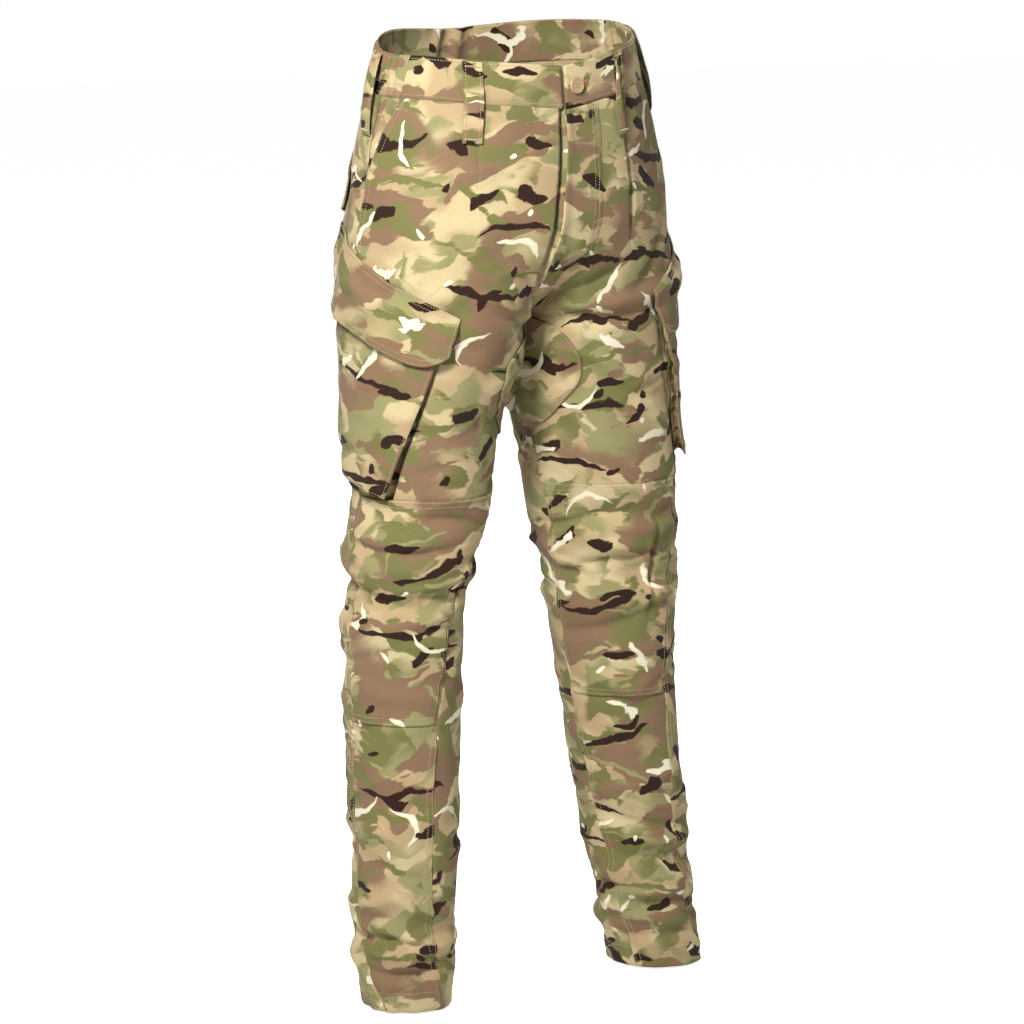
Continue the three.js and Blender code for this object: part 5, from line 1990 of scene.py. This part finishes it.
@dataclass
class Buttonhole:
    """Worked buttonhole beside the button, and the thread that holds the button."""

    fly: FlyFront
    band: Waistband
    worked: Topstitching
    holding: Topstitching
    start: float = 2.5
    end: float = 26.0
    half_width: float = 1.7
    tack: float = 0.75
    strand: float = 3.6

    def point(self, from_centre: Array, across: Array, extra: float) -> Array:
        """Points on the left end of the band, by distances from the centre and the hole's middle.

        Args:
            from_centre: Distances from the centre front.
            across: Distances below the middle of the buttonhole.
            extra: Height over the band.

        Returns:
            The points.
        """
        drop = self.fly.button_drop + across
        rise = self.band.roundness(drop) + self.band.lap_lift
        return self.fly.at_centre(from_centre, drop, rise + extra)

    def work(self) -> None:
        """Stitches both lips and the outer end, and the two strands over the button."""
        for across in (-self.half_width, self.half_width):
            self.worked.row(
                "buttonhole_stitches",
                lambda u, extra: self.point(mix(self.start, self.end, u), across, 0.15 + extra),
                self.tack,
            )
        for away in (0.0, 1.1):
            self.worked.row(
                "buttonhole_stitches",
                lambda u, extra: self.point(self.end + 0.6 + away, mix(-3.4, 3.4, u), 0.35 + extra),
                self.tack,
            )
        seat, side, up, axis = self.fly.button_seat()
        top = self.fly.button_thick - 0.75
        for offset in (-self.fly.hole_offset, self.fly.hole_offset):
            self.holding.row(
                "waist_button_thread",
                lambda u, extra: seat
                + (self.strand * (u[:, None] - 0.5)) * side
                + offset * up
                + (top + extra) * axis,
            )
        self.worked.build()
        self.holding.build()


Socket = bpy.types.NodeSocket
Inputs = dict[str | int, object]
WHITE = (1.0, 1.0, 1.0, 1.0)


def fill(tree: bpy.types.NodeTree, node: bpy.types.Node, inputs: Inputs) -> bpy.types.Node:
    """Links sockets to a node's inputs and sets plain values on them; hands back the node."""
    for key, value in inputs.items():
        if isinstance(value, Socket):
            tree.links.new(value, node.inputs[key])
        else:
            node.inputs[key].default_value = value
    return node


def add_node(
    tree: bpy.types.NodeTree, kind: str, inputs: Inputs, **settings: object
) -> bpy.types.Node:
    """Adds a shader node.

    Args:
        tree: Nodes of a material or of the world.
        kind: Type of the node, without the leading "ShaderNode".
        inputs: Value of each input, or the socket that is linked to it.
        settings: Other properties of the node.

    Returns:
        The node.
    """
    node = tree.nodes.new(f"ShaderNode{kind}")
    for name, value in settings.items():
        setattr(node, name, value)
    return fill(tree, node, inputs)


@dataclass(frozen=True)
class Wire:
    """Result of a material's node; working with it adds further nodes."""

    tree: bpy.types.NodeTree
    socket: Socket
    kind: str = "Math"

    def work(self, operation: str, other: object = 0.0, swap: bool = False) -> Wire:
        """Result of a math node with this as its first value, or as its second when swapped."""
        values = [self.socket, other.socket if isinstance(other, Wire) else other]
        inputs = dict(enumerate(values[::-1] if swap else values))
        node = add_node(self.tree, self.kind, inputs, operation=operation)
        return replace(self, socket=node.outputs[0])

    def __add__(self, other: object) -> Wire:
        return self.work("ADD", other)

    def __sub__(self, other: object) -> Wire:
        return self.work("SUBTRACT", other)

    def __rsub__(self, other: object) -> Wire:
        return self.work("SUBTRACT", other, swap=True)

    def __mul__(self, other: object) -> Wire:
        return self.work("MULTIPLY", other)

    def __truediv__(self, other: object) -> Wire:
        return self.work("DIVIDE", other)

    def __pow__(self, other: object) -> Wire:
        return self.work("POWER", other)

    def step(self, start: float, end: float) -> Wire:
        """Smooth step from 0 at start to 1 at end."""
        inputs = {"Value": self.socket, "From Min": start, "From Max": end}
        node = add_node(self.tree, "MapRange", inputs, interpolation_type="SMOOTHSTEP")
        return Wire(self.tree, node.outputs["Result"])

    def noise(self, scale: float, detail: float, rough: float = 0.5) -> Wire:
        """Cloudy noise at this place; its colour holds three independent clouds."""
        inputs = {"Vector": self.socket, "Scale": scale, "Detail": detail, "Roughness": rough}
        node = add_node(self.tree, "TexNoise", inputs, noise_dimensions="2D")
        return Wire(self.tree, node.outputs["Color"], "VectorMath")

    def parts(self) -> tuple[Wire, ...]:
        """Components of a vector."""
        node = add_node(self.tree, "SeparateXYZ", {0: self.socket})
        return tuple(Wire(self.tree, output) for output in node.outputs)

    def blend(self, a: Wire | RGB, b: Wire | RGB) -> Wire:
        """Colour a where this share is 0 and b where it is 1."""
        a, b = ((*end, 1.0) if isinstance(end, tuple) else end.socket for end in (a, b))
        node = add_node(self.tree, "Mix", {0: self.socket, 6: a, 7: b}, data_type="RGBA")
        return Wire(self.tree, node.outputs[2], "VectorMath")

    def cells(self, spread: float) -> tuple[Wire, Wire]:
        """Scattered cells of about unit size: place inside each one, and its random numbers."""
        inputs = {"Vector": self.socket, "Scale": 1.0, "Randomness": spread}
        node = add_node(self.tree, "TexVoronoi", inputs, voronoi_dimensions="2D")
        middle, chance = node.outputs["Position"], node.outputs["Color"]
        return self - Wire(self.tree, middle), Wire(self.tree, chance)


def from_srgb(red: int, green: int, blue: int) -> RGB:
    """Linear colour of a screen colour out of 255."""
    values = np.array([red, green, blue]) / 255
    low, high = values / 12.92, ((values + 0.055) / 1.055) ** 2.4
    return tuple(float(v) for v in np.where(values <= 0.04045, low, high))


@dataclass(frozen=True)
class Stroke:
    """Scattered tapered strokes of one colour: cell size in metres, half length and half width
    as shares of a cell, bend, greatest turn in radians, and share of the cells that hold one."""

    colour: RGB
    cell: tuple[float, float]
    half_length: float
    half_width: float
    bend: float
    turn: float
    share: float
    offset: tuple[float, float]
    ragged: float = 0.05


@dataclass(frozen=True)
class CamouflageTwill:
    """Matt twill printed with a general four coloured camouflage of clouds, strokes and dots."""

    name: str
    brightness: float = 0.725
    tan: RGB = from_srgb(170, 147, 110)
    pale: RGB = from_srgb(188, 171, 130)
    olive: RGB = from_srgb(110, 107, 64)
    green: RGB = from_srgb(138, 133, 90)
    brown: RGB = from_srgb(126, 100, 76)
    dark: RGB = from_srgb(46, 29, 22)
    cream: RGB = from_srgb(220, 212, 184)
    rough: float = 0.92
    sheen: float = 0.04
    print_scale: float = 1.2
    spread: float = 0.75
    ribs: float = 5200.0

    def strokes(self) -> tuple[Stroke, ...]:
        """The printed strokes, from the lowest layer up."""
        return (
            Stroke(self.brown, (0.16, 0.09), 0.34, 0.09, 1.0, 0.9, 0.5, (3.1, 7.7), 0.12),
            Stroke(self.green, (0.15, 0.11), 0.36, 0.035, 1.2, 1.1, 0.5, (9.3, 4.4), 0.05),
            Stroke(self.olive, (0.19, 0.1), 0.4, 0.06, -0.9, 0.7, 0.5, (5.3, 1.9), 0.1),
            Stroke(self.dark, (0.18, 0.095), 0.3, 0.06, -1.9, 0.6, 0.8, (0.4, 0.9), 0.045),
            Stroke(self.dark, (0.105, 0.08), 0.2, 0.085, 1.6, 1.0, 0.9, (6.6, 4.2), 0.03),
            Stroke(self.cream, (0.15, 0.12), 0.24, 0.042, 3.4, 1.3, 0.75, (8.7, 2.3), 0.025),
            Stroke(self.cream, (0.17, 0.12), 0.14, 0.05, 1.5, 1.1, 0.6, (1.2, 5.8), 0.09),
            Stroke(self.cream, (0.085, 0.08), 0.07, 0.05, 0.0, 1.5, 0.5, (2.2, 9.4), 0.02),
            Stroke(self.dark, (0.11, 0.09), 0.075, 0.055, 0.0, 1.2, 0.5, (7.3, 0.6), 0.02),
        )

    def lay_stroke(self, place: Wire, under: Wire, stroke: Stroke) -> Wire:
        """Lays one kind of stroke over the print.

        In each cell the place is turned by the cell's random angle. The stroke's half width
        shrinks with the square of the distance along it, and its middle line is bent.

        Args:
            place: Place on the cloth in metres, a little disturbed.
            under: Colour below.
            stroke: Kind of stroke.

        Returns:
            The colour with the strokes on it.
        """
        scaled = place / (*stroke.cell, 1.0) + (*stroke.offset, 0.0)
        local, chance = scaled.cells(self.spread)
        x, y, _ = local.parts()
        first, second, third = chance.parts()
        angle = (first - 0.5) * (2 * stroke.turn)
        cosine, sine = angle.work("COSINE"), angle.work("SINE")
        along = x * cosine + y * sine
        square = along * along
        across = y * cosine - x * sine + square * ((third - 0.5) * (2 * stroke.bend))
        edge, _, lobes = scaled.noise(6.5, 2.0, 0.6).parts()
        waver = (edge - 0.5) * (2 * stroke.ragged)
        taper = (1.0 - square / stroke.half_length**2).work("MAXIMUM")
        width = taper**0.45 * stroke.half_width * (lobes * 0.9 + 0.55) - 0.006
        inside = width - (across + waver).work("ABSOLUTE")
        empty = 1 - stroke.share
        held = second.step(empty - 0.001, empty + 0.001)
        return (inside.step(-0.004, 0.012) * held).blend(under, stroke.colour)

    def clouds(self, place: Wire) -> Wire:
        """Ground colour with lying clouds of the other colours, some hard edged, some fading."""
        x, y, _ = place.parts()

        def cloud(scale: tuple[float, float], slant: float, shift: float, detail: float) -> Wire:
            """Value of one cloud layer, stretched along a slanting direction."""
            along = x * np.cos(slant) + y * np.sin(slant)
            across = y * np.cos(slant) - x * np.sin(slant)
            spot = {0: (along * scale[0] + shift).socket, 1: (across * scale[1] - shift).socket}
            joined = add_node(place.tree, "CombineXYZ", spot).outputs[0]
            return Wire(place.tree, joined).noise(1.0, detail).parts()[0]

        streak = (cloud((38, 240), 0.35, 5.1, 2) - 0.5) * 0.07

        def brushed(shape: tuple, start: float, end: float) -> Wire:
            """Share of one cloud layer, with brush streaks along its edges."""
            return (cloud(*shape) + streak).step(start, end)

        ground = brushed(((11, 17), 0.3, 3.7, 1), 0.4, 0.6).blend(self.tan, self.pale)
        layers = (
            (self.green, ((11, 22), 0.5, 12.6, 2), 0.5, 0.545),
            (self.brown, ((9.5, 16), 0.12, 8.1, 2), 0.5, 0.52),
            (self.olive, ((12, 28), -0.5, 31.4, 2), 0.53, 0.56),
        )
        fades = (
            (((11, 14), 0.9, 17.3, 1), 0.34, 0.52),
            (((10, 12), 0.2, 8.9, 1), 0.32, 0.5),
            (((15, 15), 0.0, 41.7, 1), 0.34, 0.54),
        )
        for (colour, *layer), fade in zip(layers, fades):
            ground = (brushed(*layer) * brushed(*fade)).blend(ground, colour)
        return ground

    def make(self) -> bpy.types.Material:
        """Material for the cloth, with the twill's ribs and worn threads in its relief.

        Returns:
            The finished material.
        """
        material = bpy.data.materials.new(self.name)
        material.use_nodes = True
        tree = material.node_tree
        spot = Wire(tree, add_node(tree, "UVMap", {}, uv_map="print").outputs[0], "VectorMath")
        sway = spot.noise(22.0, 2.0) - (0.5, 0.5, 0.5)
        place = (spot + sway * (0.03, 0.022, 0.0)) * ((self.print_scale,) * 3)
        colour = self.clouds(place)
        for stroke in self.strokes():
            colour = self.lay_stroke(place, colour, stroke)
        x, y, _ = spot.parts()
        ribs = ((x + y) * self.ribs).work("SINE")
        worn = spot.noise(900.0, 2.0, 0.6).parts()[0]
        darker, lighter = (colour * ((share,) * 3) for share in (0.9, 1.08))
        colour = worn.step(0.25, 0.75).blend(darker, lighter) * ((self.brightness,) * 3)
        relief = ribs * 0.2 + worn * 0.8
        bump = {"Strength": 0.5, "Distance": 0.0003, "Height": relief.socket}
        inputs = {
            "Base Color": colour.socket,
            "Roughness": self.rough,
            "Specular IOR Level": 0.1,
            "Sheen Weight": self.sheen,
            "Sheen Roughness": 0.5,
            "Normal": add_node(tree, "Bump", bump).outputs[0],
        }
        fill(tree, tree.nodes["Principled BSDF"], inputs)
        return material


@dataclass(frozen=True)
class PlainFinish:
    """One coloured finish for thread, button and floor."""

    name: str
    colour: RGB
    rough: float
    sheen: float = 0.0

    def make(self) -> bpy.types.Material:
        """Material with one colour set on its shader."""
        material = bpy.data.materials.new(self.name)
        material.use_nodes = True
        tree = material.node_tree
        colour = (*self.colour, 1.0)
        inputs = {"Base Color": colour, "Roughness": self.rough, "Sheen Weight": self.sheen}
        fill(tree, tree.nodes["Principled BSDF"], inputs)
        return material


@dataclass
class Studio:
    """Camera, soft lights and pale floor."""

    azimuth: float = -33.0
    distance: float = 4000.0
    camera_height: float = 150.0
    target_height: float = -500.0
    aside: float = 7.7
    lens: float = 129.505
    floor_drop: float = 1024.0
    floor_reach: float = 20000.0
    world: float = 0.21
    floor_glow: float = 0.8
    lamps: tuple[tuple[str, tuple[float, float, float], float, float], ...] = (
        ("key_light", (-1.35, -1.05, 0.95), 0.45, 98.0),
        ("fill_light", (2.0, -2.6, 0.5), 1.2, 17.0),
        ("side_light", (3.3, 1.0, 0.8), 2.0, 36.0),
        ("back_light", (0.9, 3.2, 1.2), 2.0, 70.0),
    )

    def camera(self) -> None:
        """Camera at the height and distance that the photo's perspective shows."""
        turn = np.radians(self.azimuth)
        toward = np.array([np.sin(turn), -np.cos(turn), 0.0])
        right = np.array([np.cos(turn), np.sin(turn), 0.0])
        place = toward * self.distance + right * self.aside + [0, 0, self.camera_height]
        target = right * self.aside + [0, 0, self.target_height]
        lens = bpy.data.cameras.new("camera")
        lens.lens = self.lens
        lens.sensor_width = 36.0
        lens.clip_end = 100.0
        view = bpy.data.objects.new("camera", lens)
        view.location = Vector(place * MM)
        view.rotation_euler = Vector((target - place) * MM).to_track_quat("-Z", "Y").to_euler()
        bpy.context.scene.collection.objects.link(view)
        bpy.context.scene.camera = view

    def lamp(self, name: str, place: tuple[float, float, float], size: float, power: float) -> None:
        """Square soft light that looks at the middle of the trousers.

        Args:
            name: Name of the light.
            place: Its place in metres.
            size: Side of the square in metres.
            power: Power in watts.
        """
        light = bpy.data.lights.new(name, "AREA")
        light.size = size
        light.energy = power
        lamp = bpy.data.objects.new(name, light)
        lamp.location = place
        toward = Vector((0, 0, -0.5)) - Vector(place)
        lamp.rotation_euler = toward.to_track_quat("-Z", "Y").to_euler()
        bpy.context.scene.collection.objects.link(lamp)

    def surround(self) -> None:
        """World that lights the scene softly and shows white to the camera."""
        world = bpy.data.worlds.new("studio")
        world.use_nodes = True
        tree = world.node_tree
        back = fill(tree, tree.nodes["Background"], {"Color": WHITE, "Strength": self.world})
        seen = add_node(tree, "Background", {"Color": WHITE})
        ray = add_node(tree, "LightPath", {}).outputs["Is Camera Ray"]
        choice = add_node(tree, "MixShader", {0: ray, 1: back.outputs[0], 2: seen.outputs[0]})
        fill(tree, tree.nodes["World Output"], {"Surface": choice.outputs[0]})
        bpy.context.scene.world = world

    def floor(self) -> None:
        """Wide paper floor that glows a little to the camera alone."""
        corner = np.array([(-1, -1), (1, -1), (1, 1), (-1, 1)]) * self.floor_reach
        points = np.concatenate([corner, np.full((4, 1), -self.floor_drop)], 1)
        mesh = bpy.data.meshes.new("floor")
        mesh.from_pydata((points * MM).tolist(), [], [(0, 1, 2, 3)])
        floor = bpy.data.objects.new("floor", mesh)
        bpy.context.scene.collection.objects.link(floor)
        paper = PlainFinish("floor_paper", (0.9, 0.9, 0.9), 0.9).make()
        tree = paper.node_tree
        ray = Wire(tree, add_node(tree, "LightPath", {}).outputs["Is Camera Ray"])
        glow = {"Emission Color": WHITE, "Emission Strength": (ray * self.floor_glow).socket}
        fill(tree, tree.nodes["Principled BSDF"], glow)
        mesh.materials.append(paper)

    def build(self) -> None:
        """Puts up the whole studio."""
        bpy.context.scene.view_settings.view_transform = "Standard"
        self.surround()
        for lamp in self.lamps:
            self.lamp(*lamp)
        self.floor()
        self.camera()


def main() -> None:
    """Builds the trousers piece by piece, then the studio."""
    logging.basicConfig(level=logging.INFO, format="%(message)s")
    slots = ("outer_cloth", "band_cloth", "pocket_cloth", "patch_cloth")
    finishes = {slot: CamouflageTwill(slot).make() for slot in slots}
    thread = PlainFinish("sewing_thread", from_srgb(150, 134, 96), 0.8, 0.3).make()
    red_thread = PlainFinish("buttonhole_thread", from_srgb(128, 72, 52), 0.8, 0.3).make()
    horn = PlainFinish("button_resin", from_srgb(142, 118, 84), 0.45).make()
    cloth = Cloth(TrouserSurface())
    tailor = Tailor(cloth, finishes)
    panels, band, pockets = LegPanels(tailor), Waistband(tailor), FrontPockets(tailor)
    fly, loops = FlyFront(tailor, horn), BeltLoops(tailor)
    cargo, seat, patches = CargoPocket(tailor), SeatPocket(tailor), Patches(tailor)
    for half in Half:
        panels.front(half)
        panels.back(half)
        pockets.build(half)
        band.front(half)
        cargo.build(half)
        patches.build(half)
    band.back()
    fly.placket()
    fly.button()
    seat.build()
    for place in loops.places:
        loops.build(*place)
    stitches = Topstitching(thread)
    SeamPlan(cloth, stitches, panels, band, fly, cargo, seat, patches, loops).sew()
    worked = Topstitching(red_thread, pitch=0.75, length=2.6, width=0.8, height=0.5)
    holding = Topstitching(thread, pitch=3.6, length=4.0, width=1.3, height=0.9)
    Buttonhole(fly, band, worked, holding).work()
    Studio().build()


if __name__ == "__main__":
    main()
